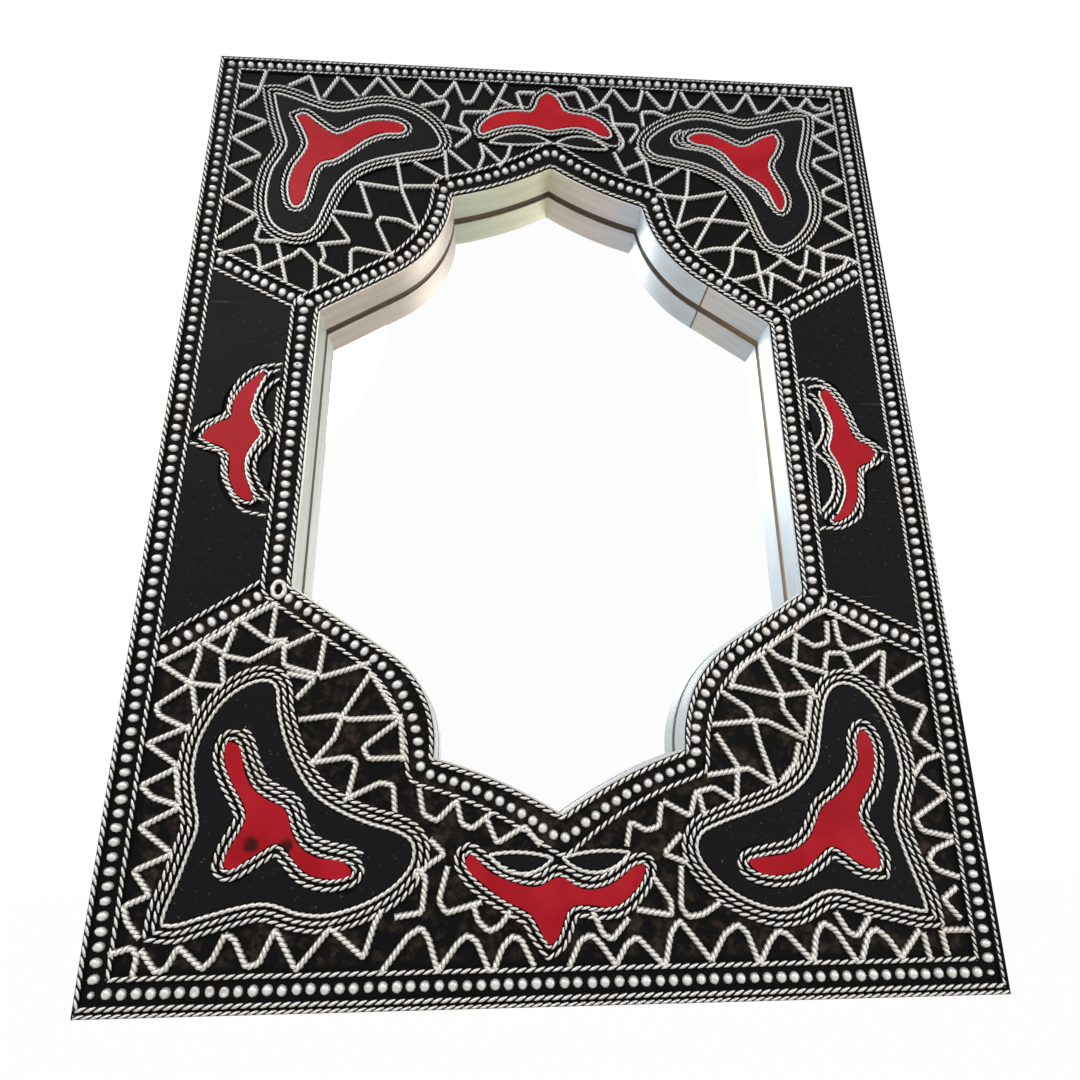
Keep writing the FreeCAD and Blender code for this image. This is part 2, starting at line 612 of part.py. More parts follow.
inlay_lines = {
    "top_left": [
        (-89.6, 128.2), (-87.2, 129), (-83.2, 125.7), (-78.5, 121.9), (-75, 120.4), (-71.3, 122.2),
        (-67, 125.6), (-61, 127.6), (-55, 127.3), (-51.6, 125.2), (-53, 123.2), (-59, 122.5),
        (-65, 119.4), (-70.5, 114.2), (-75.5, 110), (-80, 108.3), (-82.7, 104), (-83.9, 97), (-85, 91.2),
        (-87.2, 89.2), (-89, 92.5), (-89.8, 98.5), (-88.6, 105.5), (-85.8, 111.3), (-84.6, 116),
        (-86.3, 121.5),
    ],
    "top_right": [
        (85.4, 129), (86.3, 126.3), (84.6, 121.5), (82.3, 117.6), (81.6, 113.5), (83.4, 108.2),
        (85.6, 103), (86.1, 98.5), (84.6, 95.4), (82.9, 98.5), (81, 104), (77, 108.2), (72.5, 111),
        (69.3, 115.3), (66, 120), (61, 123.2), (56, 124.1), (53.4, 126), (56.2, 128), (61.5, 128),
        (66.5, 125.6), (71.5, 122.9), (75.5, 123.5), (80.5, 127),
    ],
    "bottom_left": [
        (-87, -121.6), (-86.2, -117.8), (-83.6, -113), (-82.5, -109.3), (-84.6, -104.8), (-87.6, -100),
        (-89.8, -94.6), (-89.2, -90.3), (-87, -91), (-84.8, -96.3), (-81.4, -102.6), (-76.5, -105.8),
        (-72.6, -108), (-70.8, -112.5), (-67.6, -117.4), (-62, -120.2), (-55.5, -121.7), (-54.2, -123.8),
        (-60, -125), (-66, -123.4), (-70.2, -119.2), (-73.8, -116.2), (-78, -118.1), (-82.5, -120.8),
        (-85.8, -122.3),
    ],
    "bottom_right": [
        (88.4, -124.4), (88.7, -121.2), (86.2, -116.2), (84.3, -111.5), (85.6, -107.3), (88.8, -103),
        (90.7, -97.5), (90.9, -91.5), (88.8, -88), (86.8, -91), (86.6, -96), (83.6, -101.3),
        (78.8, -105.8), (74.4, -109), (72.2, -112.8), (69.6, -116.8), (64.5, -120), (57.5, -121.3),
        (52.3, -122.6), (54.2, -124.7), (60, -125.8), (66.5, -124.6), (71.5, -121.5), (75.5, -118.8),
        (79.5, -120.7), (84, -124),
    ],
    "top": [
        (0.5, 144.2), (2.8, 143), (4.6, 140.2), (6.2, 136.6), (9.5, 134.9), (15, 134.2), (19.5, 132),
        (22.6, 128.4), (23, 125.6), (20, 125.8), (15.8, 128.4), (10.8, 129.3), (5.5, 128.3), (1, 127.4),
        (-3.5, 128.6), (-9.5, 129.3), (-15.5, 128.2), (-20.3, 126.1), (-23.3, 124.6), (-23.5, 127.3),
        (-20.8, 131), (-16, 133.9), (-10, 134.8), (-5.5, 134.9), (-3.4, 137.5), (-2, 141.8),
    ],
    "bottom": [
        (-2.1, -141.6), (-0.2, -140.2), (1.3, -137), (2.8, -133.6), (6, -132.3), (11.5, -132.9),
        (16.5, -132.2), (20.5, -129.2), (23.2, -125.5), (23.4, -123), (20.5, -123.5), (16, -126.7),
        (10.5, -128.6), (5.5, -128.1), (0.4, -125.6), (-4, -127.5), (-9.5, -127.3), (-15, -125.5),
        (-20, -122.2), (-23.4, -119.8), (-24.2, -121.6), (-21.5, -125.4), (-16.5, -129.2), (-11, -132.3),
        (-6.8, -134.7), (-4.6, -138.4),
    ],
    "left": [
        (-107.5, 0.8), (-106, 3.7), (-102.5, 6.1), (-99.5, 8), (-99.6, 11.5), (-97.8, 16.5),
        (-94.8, 20.8), (-91.2, 23.6), (-91.6, 21), (-93.1, 16), (-94.2, 10.3), (-92.6, 6.3), (-90.4, 2.5),
        (-92.2, -1.2), (-94, -6), (-93.4, -11.5), (-91.4, -16.2), (-90.6, -19.7), (-93.4, -19.2),
        (-96.4, -15.8), (-98.3, -10.5), (-98.5, -5.5), (-100.2, -3), (-104, -1.3),
    ],
    "right": [
        (105.2, -0.4), (103.6, 2.1), (100.3, 3.8), (98.4, 7.5), (97, 13), (94.8, 18.2), (91.7, 22.2),
        (90.1, 20.5), (91.6, 15.5), (92.9, 10), (92.2, 5.2), (90.9, 0.8), (92.8, -3.8), (94.3, -9.5),
        (94, -15), (91.5, -20.5), (88.8, -24), (91.8, -23.2), (95.3, -20.2), (97.4, -15.5), (98.1, -9.5),
        (99.3, -5.4), (103, -3.6),
    ],
}


def outline(points):
    return Part.Wire(Part.__sortEdges__(smooth(points + points[:1])))


def in_field(shape):
    return shape.common(field)


first_rope = mm("field_gap") + half_rope
inlay_room = first_rope + mm("rope_pitch") + half_rope + mm("field_gap")
taken = []
for corner in corners:
    medallion = outline(stretched(medallion_lines[corner]))
    inlay = outline(stretched(inlay_lines[corner]))
    plate_edge = -2 * mm("rope_pitch") - half_rope - mm("field_gap")
    plate = in_field(grown(medallion, plate_edge).cut(grown(inlay, inlay_room)))
    ropes = [loop(medallion, -mm("rope_pitch") * step) for step in range(3)]
    ropes += [loop(inlay, first_rope + mm("rope_pitch") * step) for step in range(2)]
    layer(f"medallion_{corner}", plate, "sizes.panel_thickness", on_ground)
    layer(f"inlay_{corner}", in_field(grown(inlay, 0)), "sizes.inlay_thickness", on_ground)
    trimmed = Part.makeCompound([in_field(rope) for rope in ropes])
    layer(f"medallion_wires_{corner}", trimmed, rope_rise, on_ground)
    taken.append(grown(medallion, half_rope + mm("field_gap")))

# Front: inlays in the middle of each side, with two almond cells between each and the opening

almond_ends = {
    "top": [[(-18.6, 120.7), (-0.6, 121.2)], [(5.8, 121.2), (19.6, 120.7)]],
    "bottom": [[(-16.6, -120.4), (-2.6, -121.2)], [(3.2, -121.2), (18.2, -120.3)]],
    "left": [[(-86.4, 4.6), (-86.4, 19.6)], [(-86.4, -2.6), (-86.4, -15.4)]],
    "right": [[(86.2, 4.0), (86.2, 18.2)], [(86.2, -3.6), (86.2, -19.0)]],
}


def almond(side, points):
    """A cell that bulges towards the inlay and a little towards the opening."""
    first, last = in_margin(side, points)
    middle = (first + last) * 0.5
    outward = Vector(last.y - first.y, first.x - last.x).normalize()
    if outward.dot(middle) < 0:
        outward = outward * -1
    bulges = [middle + outward * mm("almond_bulge"), middle - outward * mm("almond_belly")]
    return Part.Wire([Part.Arc(first, bulge, last).toShape() for bulge in bulges])


almond_faces = []
almond_loops = []
for side in sides:
    inlay = outline(in_margin(side, inlay_lines[side]))
    ropes = [loop(inlay, first_rope + mm("rope_pitch") * step) for step in range(2)]
    layer(f"inlay_{side}", in_field(grown(inlay, 0)), "sizes.inlay_thickness", on_ground)
    trimmed = Part.makeCompound([in_field(rope) for rope in ropes])
    layer(f"inlay_wires_{side}", trimmed, rope_rise, on_ground)
    taken.append(grown(inlay, inlay_room))
    for points in almond_ends[side]:
        cell = almond(side, points)
        clear = field.cut(grown(inlay, inlay_room))
        almond_faces.append(grown(cell, 0).common(clear))
        almond_loops.append(loop(cell, first_rope).common(clear))
        taken.append(grown(cell, first_rope + half_rope + mm("field_gap")))
layer("almond_cells", Part.makeCompound(almond_faces), "sizes.panel_thickness", on_ground)
layer("almond_wires", Part.makeCompound(almond_loops), rope_rise, on_ground)

# Front: plain side panels between the slanted rows

free_faces = field.cut(taken).Faces
for side, across in (("left", -1), ("right", 1)):
    middle = Vector(across * (half_width + opening_half_width) / 2, opening_half_height / 3)
    panel = next(face for face in free_faces if face.isInside(middle, curve_tolerance, True))
    free_faces.remove(panel)
    layer(f"side_panel_{side}", panel, "sizes.panel_thickness", on_ground)

# Front: filigree wires, laid out on a grid over the whole front, counted from its top left corner

grid_columns = 1000
grid_rows = 1240
grid_inset = {"left": 0.4, "right": 0.5, "top": 0.9, "bottom": 0.2}
filigree = {
    "top_left": [
        [(70, 25), (64, 58), (60, 72), (38, 95)],
        [(30, 52), (62, 58)],
        [(34, 103), (80, 119), (34, 151), (78, 179), (34, 203), (70, 228), (34, 257), (82, 281), (34, 322)],
        [(90, 298), (85, 320), (92, 324), (125, 322)],
        [(38, 348), (85, 331), (92, 343), (97, 372)],
        [(98, 368), (140, 345), (150, 334), (172, 356), (175, 398)],
        [(117, 328), (125, 355), (134, 388)],
        [(178, 328), (184, 345), (178, 357), (215, 377)],
        [(190, 280), (217, 319), (172, 326)],
        [(276, 175), (287, 232), (313, 295)],
        [(220, 220), (282, 228)],
        [(288, 223), (340, 221)],
        [(226, 222), (245, 277), (192, 271)],
        [(312, 296), (285, 281), (258, 278), (253, 288), (278, 342)],
        [(222, 372), (219, 335), (228, 330), (278, 340)],
        [(303, 181), (345, 206)],
        [(347, 158), (352, 208)],
        [(354, 158), (388, 190)],
        [(106, 51), (137, 31), (156, 78)],
        [(160, 70), (180, 30)],
        [(186, 32), (213, 66)],
        [(218, 64), (240, 28), (268, 63)],
        [(255, 26), (282, 60), (290, 60), (306, 28)],
        [(306, 30), (333, 60), (342, 58), (359, 28)],
        [(359, 30), (373, 67), (386, 65), (401, 28)],
        [(308, 77), (345, 65), (350, 75), (342, 100)],
        [(412, 83), (372, 85), (369, 104), (382, 120)],
        [(346, 112), (385, 122), (382, 130), (362, 150)],
        [(404, 28), (418, 48)],
        [(438, 28), (425, 60), (411, 88)],
        [(425, 58), (448, 70)],
        [(455, 44), (464, 76)],
        [(456, 43), (484, 42)],
        [(400, 142), (405, 165), (397, 188)],
        [(404, 146), (430, 174)],
        [(446, 143), (440, 165), (428, 182)],
    ],
    "top_right": [
        [(517, 46), (548, 38), (561, 75)],
        [(552, 26), (568, 32), (581, 56)],
        [(606, 28), (585, 60), (566, 72)],
        [(588, 59), (600, 61), (605, 98)],
        [(605, 95), (640, 95), (643, 105), (629, 127)],
        [(604, 148), (615, 175), (621, 188)],
        [(652, 97), (650, 70), (670, 68), (690, 77)],
        [(608, 30), (632, 66), (645, 63), (654, 28)],
        [(660, 30), (683, 62), (695, 60), (708, 26)],
        [(716, 28), (727, 55), (737, 58), (763, 26)],
        [(767, 26), (788, 62), (800, 58), (821, 26)],
        [(823, 26), (836, 62), (852, 57), (878, 27)],
        [(880, 28), (893, 50), (905, 48), (921, 27)],
        [(922, 29), (930, 46), (945, 48), (955, 38)],
        [(898, 48), (920, 58), (932, 68), (958, 82)],
        [(925, 63), (960, 51)],
        [(959, 84), (921, 103), (957, 132), (918, 145), (915, 155), (957, 185), (924, 201), (924, 213),
         (959, 231), (921, 251)],
        [(921, 251), (959, 279), (913, 301), (900, 310)],
        [(886, 300), (905, 312), (945, 318), (960, 326)],
        [(911, 310), (905, 348)],
        [(946, 318), (940, 331), (903, 351)],
        [(615, 180), (650, 161)],
        [(638, 138), (652, 165), (658, 208)],
        [(663, 203), (702, 173)],
        [(717, 175), (712, 215), (692, 278)],
        [(665, 221), (712, 225), (772, 211)],
        [(772, 218), (748, 255), (716, 312)],
        [(690, 277), (725, 260), (760, 262), (802, 267)],
        [(800, 276), (775, 305), (770, 335), (757, 360)],
        [(716, 319), (745, 310), (775, 308), (808, 315)],
        [(807, 315), (810, 350), (815, 388)],
        [(768, 363), (805, 352), (820, 345), (845, 326)],
        [(820, 347), (840, 355), (870, 374)],
        [(829, 348), (821, 392)],
        [(868, 360), (878, 340), (900, 349)],
        [(840, 317), (868, 338), (880, 335), (886, 308)],
    ],
    "bottom_right": [
        [(803, 852), (822, 838), (845, 828), (862, 836), (907, 860)],
        [(802, 858), (825, 872), (843, 867), (845, 842)],
        [(855, 840), (858, 868), (867, 876), (912, 864)],
        [(763, 872), (778, 885), (800, 893), (838, 904)],
        [(804, 857), (797, 894)],
        [(764, 876), (780, 865), (802, 853)],
        [(835, 899), (840, 880), (862, 880), (872, 903)],
        [(873, 902), (907, 879), (913, 879), (904, 921)],
        [(960, 891), (912, 917), (918, 930), (956, 944), (935, 975), (958, 992)],
        [(963, 997), (942, 1003), (928, 1019)],
        [(936, 1020), (963, 1041), (921, 1065), (928, 1078), (963, 1085)],
        [(963, 1089), (938, 1098), (930, 1108), (938, 1118), (963, 1126)],
        [(958, 1136), (940, 1148), (957, 1167)],
        [(932, 1178), (965, 1178)],
        [(907, 1177), (883, 1202)],
        [(911, 1180), (915, 1206)],
        [(932, 1178), (936, 1202)],
        [(617, 1206), (625, 1175), (635, 1163), (650, 1180), (668, 1202)],
        [(668, 1202), (685, 1177), (700, 1168), (710, 1176), (721, 1206)],
        [(722, 1206), (735, 1185), (745, 1175), (755, 1178), (780, 1204)],
        [(782, 1205), (788, 1180), (797, 1168), (810, 1175), (831, 1206)],
        [(837, 1204), (848, 1180), (857, 1175), (870, 1185), (883, 1205)],
        [(813, 1158), (825, 1178), (835, 1182), (852, 1163)],
        [(641, 1110), (638, 1150), (645, 1160), (662, 1158), (682, 1147)],
        [(608, 1120), (627, 1145), (627, 1158), (588, 1152)],
        [(643, 1078), (622, 1098), (648, 1107)],
        [(622, 1045), (618, 1070), (603, 1074), (585, 1065), (580, 1090)],
        [(624, 1044), (655, 1060), (663, 1035), (685, 1030), (708, 1044)],
        [(667, 1037), (672, 1060)],
        [(678, 1017), (715, 1012), (728, 1010), (760, 1030)],
        [(715, 1012), (711, 1043)],
        [(692, 972), (718, 1012)],
        [(688, 962), (740, 958), (755, 958), (802, 980)],
        [(702, 924), (735, 945), (740, 960), (745, 985), (759, 1029)],
        [(716, 918), (775, 930), (818, 924)],
        [(756, 883), (777, 925), (777, 945), (800, 974)],
        [(714, 922), (722, 905), (740, 890), (762, 879)],
        [(794, 898), (820, 933)],
        [(813, 930), (804, 972)],
        [(792, 983), (785, 1005), (766, 1024)],
        [(512, 1204), (525, 1180), (537, 1175), (548, 1185), (563, 1204), (575, 1185), (587, 1178),
         (600, 1190), (616, 1206)],
        [(539, 1153), (550, 1175), (560, 1180), (579, 1160)],
    ],
    "bottom_left": [
        [(125, 845), (150, 831), (165, 823), (162, 866)],
        [(127, 846), (160, 868), (182, 866)],
        [(83, 871), (110, 855), (128, 840)],
        [(85, 870), (110, 882), (119, 853)],
        [(178, 876), (213, 859)],
        [(178, 868), (180, 895), (220, 906)],
        [(226, 862), (221, 908)],
        [(108, 884), (140, 890), (182, 866)],
        [(107, 886), (113, 915)],
        [(36, 894), (80, 870), (82, 885), (74, 917)],
        [(38, 893), (75, 915), (112, 919)],
        [(78, 914), (40, 940), (45, 950), (83, 966)],
        [(78, 918), (86, 948)],
        [(82, 961), (36, 980), (75, 1004), (36, 1023), (50, 1035), (82, 1044)],
        [(72, 1006), (79, 1038)],
        [(82, 1045), (41, 1065), (80, 1091), (41, 1107), (62, 1130), (36, 1140), (42, 1155), (57, 1170)],
        [(28, 1184), (50, 1178), (57, 1185), (55, 1204)],
        [(60, 1180), (78, 1201), (88, 1198), (98, 1178), (125, 1199), (135, 1190), (145, 1168)],
        [(145, 1168), (155, 1172), (170, 1198), (183, 1195), (197, 1164), (222, 1202), (255, 1164),
         (292, 1192), (302, 1160), (309, 1148)],
        [(311, 1206), (338, 1173), (352, 1165), (360, 1175), (371, 1206)],
        [(371, 1206), (392, 1180), (402, 1173), (412, 1179), (426, 1207)],
        [(431, 1206), (440, 1185), (450, 1175), (460, 1178), (474, 1203)],
        [(407, 1142), (413, 1160), (425, 1170), (437, 1165), (449, 1151)],
        [(379, 1107), (370, 1140), (378, 1152), (417, 1142)],
        [(358, 1080), (375, 1095), (358, 1105), (343, 1117)],
        [(345, 1108), (355, 1118), (352, 1151), (323, 1155)],
        [(344, 1028), (350, 1055), (365, 1062), (387, 1041), (393, 1065), (405, 1070), (427, 1054)],
        [(421, 1060), (433, 1085), (464, 1068), (482, 1088)],
        [(260, 1040), (300, 1022), (315, 1025), (318, 1053)],
        [(220, 1001), (262, 995), (272, 1000), (264, 1038)],
        [(327, 996), (285, 997), (278, 985), (322, 953)],
        [(203, 955), (245, 950), (260, 955), (322, 952)],
        [(283, 902), (253, 950), (245, 975), (220, 1003)],
        [(284, 906), (320, 957), (325, 1000)],
        [(223, 909), (281, 892)],
        [(185, 904), (218, 910), (198, 932)],
    ],
}


def on_grid(column, row):
    length = mm("frame_width") - grid_inset["left"] - grid_inset["right"]
    height = mm("frame_height") - grid_inset["top"] - grid_inset["bottom"]
    x = grid_inset["left"] - half_width + length * column / grid_columns
    z = half_height - grid_inset["top"] - height * row / grid_rows
    return Vector(x, z)


rise = Vector(0, 0, mm("filigree_height"))
clear_solid = Part.makeCompound(free_faces).extrude(rise)
smallest_piece = mm("filigree_width") ** 2 * mm("filigree_height") / 2
for corner, runs in filigree.items():
    bars = []
    for run in runs:
        spots = [on_grid(*spot) for spot in run]
        bars += [strip(a, b, mm("filigree_width")).extrude(rise) for a, b in zip(spots, spots[1:])]
    mesh = bars[0].multiFuse(bars[1:]).common(clear_solid).removeSplitter()
    pieces = [solid for solid in mesh.Solids if solid.Volume > smallest_piece]
    wires = doc.addObject("Part::Feature", f"filigree_{corner}")
    wires.Shape = Part.makeCompound(pieces)
    wires.Placement = Placement(Vector(0, -ground_front, 0), upright)
    keep(wires, f"filigree_{corner}")

# Check every object, then write one file for each piece

doc.recompute()
for item in doc.Objects:
    if "Invalid" in item.State or "Error" in item.State:
        raise RuntimeError(f"{item.Label} failed: {item.State}")
os.makedirs("parts", exist_ok=True)
for node in nodes:
    if node.Shape.isNull() or not node.Shape.isValid() or not node.Shape.Solids:
        raise RuntimeError(f"{node.Label} has no valid solid")
for node in nodes:
    node.Shape.exportStep(f"parts/{node.Label}.step")
print(len(nodes), "pieces,", sum(len(node.Shape.Solids) for node in nodes), "solids")
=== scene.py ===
import math
import random

import bpy
from mathutils import Matrix, Vector, noise
from mathutils.kdtree import KDTree


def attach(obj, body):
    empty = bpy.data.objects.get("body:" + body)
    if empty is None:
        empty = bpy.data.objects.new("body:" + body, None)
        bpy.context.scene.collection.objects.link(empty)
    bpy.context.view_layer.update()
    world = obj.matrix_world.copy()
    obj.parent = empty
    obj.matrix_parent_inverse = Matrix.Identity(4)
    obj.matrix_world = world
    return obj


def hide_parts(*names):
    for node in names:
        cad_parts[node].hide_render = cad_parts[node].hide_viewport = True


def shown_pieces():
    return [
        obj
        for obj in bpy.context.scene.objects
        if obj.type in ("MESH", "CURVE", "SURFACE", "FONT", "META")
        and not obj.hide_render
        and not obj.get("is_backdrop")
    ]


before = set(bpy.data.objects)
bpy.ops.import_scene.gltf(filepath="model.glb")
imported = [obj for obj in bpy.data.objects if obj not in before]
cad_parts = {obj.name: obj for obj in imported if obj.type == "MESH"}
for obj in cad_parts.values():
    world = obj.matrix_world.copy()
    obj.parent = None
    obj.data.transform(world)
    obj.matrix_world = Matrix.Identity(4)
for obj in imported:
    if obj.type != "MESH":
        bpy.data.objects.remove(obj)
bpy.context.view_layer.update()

random.seed(11)
print("frame loaded:", len(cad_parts), "nodes")

# The front is drawn flat in millimetres, x to the right and y up, and then stood on this plane.
front = {"width": 240.0, "height": 312.0, "depth": 22.0}
halfWidth = front["width"] / 2
halfHeight = front["height"] / 2
quarters = {"top_left": (-1, 1), "top_right": (1, 1), "bottom_left": (-1, -1), "bottom_right": (1, -1)}


# Small helpers for working by hand

def deselectAll():
    if bpy.context.object and bpy.context.object.mode != "OBJECT":
        bpy.ops.object.mode_set(mode="OBJECT")
    bpy.ops.object.select_all(action="DESELECT")


def pick(*objs):
    deselectAll()
    for obj in objs:
        obj.select_set(True)
    bpy.context.view_layer.objects.active = objs[0]


def selectPoints(obj, test):
    bpy.ops.object.mode_set(mode="EDIT")
    bpy.ops.mesh.select_mode(type="VERT")
    bpy.ops.mesh.select_all(action="DESELECT")
    bpy.ops.object.mode_set(mode="OBJECT")
    for vert in obj.data.vertices:
        vert.select = test(vert.co)
    bpy.ops.object.mode_set(mode="EDIT")


def joinAll(objs, name):
    pick(*objs)
    if len(objs) > 1:
        bpy.ops.object.join()
    joined = bpy.context.object
    joined.name = name
    joined.data.name = name
    return joined


def standOnFront(obj):
    obj.matrix_world = (
        Matrix.Translation((0, -front["depth"] / 1000, 0))
        @ Matrix.Rotation(math.pi / 2, 4, "X")
        @ Matrix.Scale(0.001, 4)
    )
    pick(obj)
    bpy.ops.object.transform_apply(location=True, rotation=True, scale=True)
    return obj


def closeUp(obj, merge=0.004):
    pick(obj)
    bpy.ops.object.mode_set(mode="EDIT")
    bpy.ops.mesh.select_all(action="SELECT")
    bpy.ops.mesh.remove_doubles(threshold=merge)
    bpy.ops.mesh.fill_holes(sides=0)
    bpy.ops.mesh.select_all(action="SELECT")
    bpy.ops.mesh.normals_make_consistent(inside=False)
    bpy.ops.object.mode_set(mode="OBJECT")
    return obj


def dress(obj, body, slot, material, *nodes):
    obj.data.materials.clear()
    obj.data.materials.append(material)
    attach(obj, body)
    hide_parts(*nodes)


# Lines drawn on the front

def lengthOf(path, closed=False):
    ends = path[1:] + path[:1] if closed else path[1:]
    return sum((b - a).length for a, b in zip(path, ends))


def smoothLine(points, step=0.8):
    # a curve through the points that keeps their corners soft
    spots = [Vector(p).to_2d() for p in points]
    lead = spots[0] + (spots[0] - spots[1])
    tail = spots[-1] + (spots[-1] - spots[-2])
    line = []
    for before, a, b, after in zip([lead] + spots, spots, spots[1:], spots[2:] + [tail]):
        parts = max(2, round((b - a).length / step))
        for k in range(parts):
            t = k / parts
            line.append(0.5 * (2 * a + (b - before) * t + (2 * before - 5 * a + 4 * b - after) * t * t
                               + (3 * a - before - 3 * b + after) * t * t * t))
    return line + spots[-1:]


def arcThrough(a, m, b, parts=16):
    # a circle through three points, from a to b
    ax, ay, bx, by, mx, my = a[0], a[1], b[0], b[1], m[0], m[1]
    d = 2 * (ax * (my - by) + mx * (by - ay) + bx * (ay - my))
    sa, sm, sb = ax * ax + ay * ay, mx * mx + my * my, bx * bx + by * by
    centre = Vector(((sa * (my - by) + sm * (by - ay) + sb * (ay - my)) / d,
                     (sa * (bx - mx) + sm * (ax - bx) + sb * (mx - ax)) / d))
    start, middle, end = [Vector(p[:2]) - centre for p in (a, m, b)]
    turn = start.angle_signed(middle) + middle.angle_signed(end)
    return [centre + Matrix.Rotation(-turn * k / parts, 2) @ start for k in range(parts + 1)]


def offsetLine(path, step, sharpest=0.25):
    # the same closed line moved to its left by a step, with mitred corners
    moved = []
    for before, spot, after in zip(path[-1:] + path, path, path[1:] + path[:1]):
        into, out = (spot - before).normalized(), (after - spot).normalized()
        normal = Vector((-into.y - out.y, into.x + out.x))
        scale = 2 / max(sharpest, normal.length_squared)
        moved.append(spot + normal * scale * step)
    return moved


def evenly(path, pitch, closed, slack=1e-4):
    # points along a line at a steady pitch
    loop = path + path[:1] if closed else path
    total = lengthOf(loop)
    count = round(total / pitch)
    pitch = total / count
    spots = []
    wanted = walked = 0.0
    for a, b in zip(loop, loop[1:]):
        size = (b - a).length
        while wanted <= walked + size + slack and len(spots) < count + (0 if closed else 1):
            spots.append(a + (b - a) * ((wanted - walked) / size if size else 0))
            wanted += pitch
        walked += size
    return spots


def ccw(path):
    area = sum(a.x * b.y - b.x * a.y for a, b in zip(path, path[1:] + path[:1]))
    return path if area > 0 else path[::-1]


# Finishes

class Shade:
    def __init__(self, tree, socket=None):
        self.tree = tree
        self.socket = socket

    def node(self, kind, settings, sockets, out=0):
        made = self.tree.nodes.new("ShaderNode" + kind)
        for key, value in settings.items():
            if key == "stops":
                while len(made.color_ramp.elements) < len(value):
                    made.color_ramp.elements.new(0.5)
                for stop, (place, colour) in zip(made.color_ramp.elements, value):
                    stop.position = place
                    stop.color = (*colour, 1)
            else:
                setattr(made, key, value)
        self.feed(made, sockets)
        return Shade(self.tree, made.outputs[out])

    def feed(self, made, sockets):
        for key, value in sockets.items():
            if isinstance(value, Shade):
                self.tree.links.new(value.socket, made.inputs[key])
            else:
                made.inputs[key].default_value = value

    def math(self, operation, *others):
        return self.node("Math", {"operation": operation}, dict(enumerate((self,) + others)))

    def __add__(self, other):
        return self.math("ADD", other)

    def __sub__(self, other):
        return self.math("SUBTRACT", other)

    def __rsub__(self, other):
        return self.node("Math", {"operation": "SUBTRACT"}, {0: other, 1: self})

    def __mul__(self, other):
        return self.math("MULTIPLY", other)

    def __truediv__(self, other):
        return self.math("DIVIDE", other)

    __radd__ = __add__

    def axis(self, name):
        return self.node("SeparateXYZ", {}, {"Vector": self}, name)

    def rise(self, low, high):
        places = {"Value": self, "From Min": low, "From Max": high}
        return self.node("MapRange", {"interpolation_type": "SMOOTHSTEP"}, places)

    def between(self, first, second):
        ends = [(*c, 1) if isinstance(c, tuple) else c for c in (first, second)]
        return self.node("Mix", {"data_type": "RGBA"}, {0: self, 6: ends[0], 7: ends[1]}, 2)

    def noise(self, scale, detail=3.0, roughness=0.55, stretch=None):
        where = self
        if stretch:
            where = self.node("Mapping", {}, {"Vector": self, "Scale": stretch})
        return self.node("TexNoise", {}, {"Vector": where, "Scale": scale, "Detail": detail,
                                          "Roughness": roughness}, "Fac")


def newFinish(name):
    material = bpy.data.materials.new(name)
    material.use_nodes = True
    start = Shade(material.node_tree)
    return material, start.node("TexCoord", {}, {}, "Object")


def coat(material, place, colour, roughness, metallic=0.0, gloss=0.5, bump=None, depth=0.0, strength=0.0):
    # each value is a steady one or comes from nodes
    values = {"Base Color": colour, "Roughness": roughness, "Metallic": metallic, "Specular IOR Level": gloss}
    if bump:
        raised = {"Height": bump, "Strength": strength, "Distance": depth}
        values["Normal"] = place.node("Bump", {}, raised, "Normal")
    place.feed(material.node_tree.nodes["Principled BSDF"], values)
    return material


shadedTopRise = (0.05, 0.15)  # heights over which the silver is painted darker, a painted shade for the weaker light at the top


def silverFinish(name, look):
    material, place = newFinish(name)
    groove = place.node("Attribute", {"attribute_name": "groove"}, {}, "Fac")
    speck = place.noise(look["speck"], 4.0)
    cloud = place.noise(38.0, 3.0)
    dark = (groove + (speck - 0.5) * look["rag"]).rise(look["low"], look["high"])
    metal = (cloud.rise(0.5, 0.78) * 0.7).between(look["light"], look["warm"])
    # painted shade: the silver is darkened towards the top of the frame, where less light falls
    metal = (place.axis("Z").rise(*shadedTopRise) * look["fade"]).between(metal, look["shadedTop"])
    colour = dark.between(metal, look["black"])
    roughness = 0.3 + dark * 0.3 + speck * 0.14
    return coat(material, place, colour, roughness, metallic=look["metal"] - dark * look["metal"] * 0.9,
                bump=speck, depth=0.0001, strength=0.4, gloss=look["gloss"])


def groundFinish(look):
    material, place = newFinish("black resin ground")
    across, upward = place.axis("X").math("ABSOLUTE"), place.axis("Z").math("ABSOLUTE")
    wide, tall = look["inside"]  # the border stays black
    inside = 1 - (across - wide).math("MAXIMUM", upward - tall).rise(-0.0015, 0.0005)
    lumps = place.noise(look["lump"], 3.0, 0.6)
    grit = place.noise(look["lump"] * 4, 3.0, 0.6)
    lower = 1 - place.axis("Z").rise(*look["lower"])
    # the brown patches are partly the resin's own brown and partly a painted highlight where pooled resin
    # catches the light; they thin out towards the top
    brownAndSheen = lumps.rise(0.44, 0.78) * inside * (0.5 + grit) * (0.12 + lower * 0.88)
    colour = brownAndSheen.between(look["black"], look["brownAndSheen"])
    roughness = 0.28 + lumps * 0.3 + grit * 0.12
    return coat(material, place, colour, roughness, bump=lumps * 0.75 + grit * 0.25,
                depth=0.0009, strength=0.7, gloss=look["gloss"])


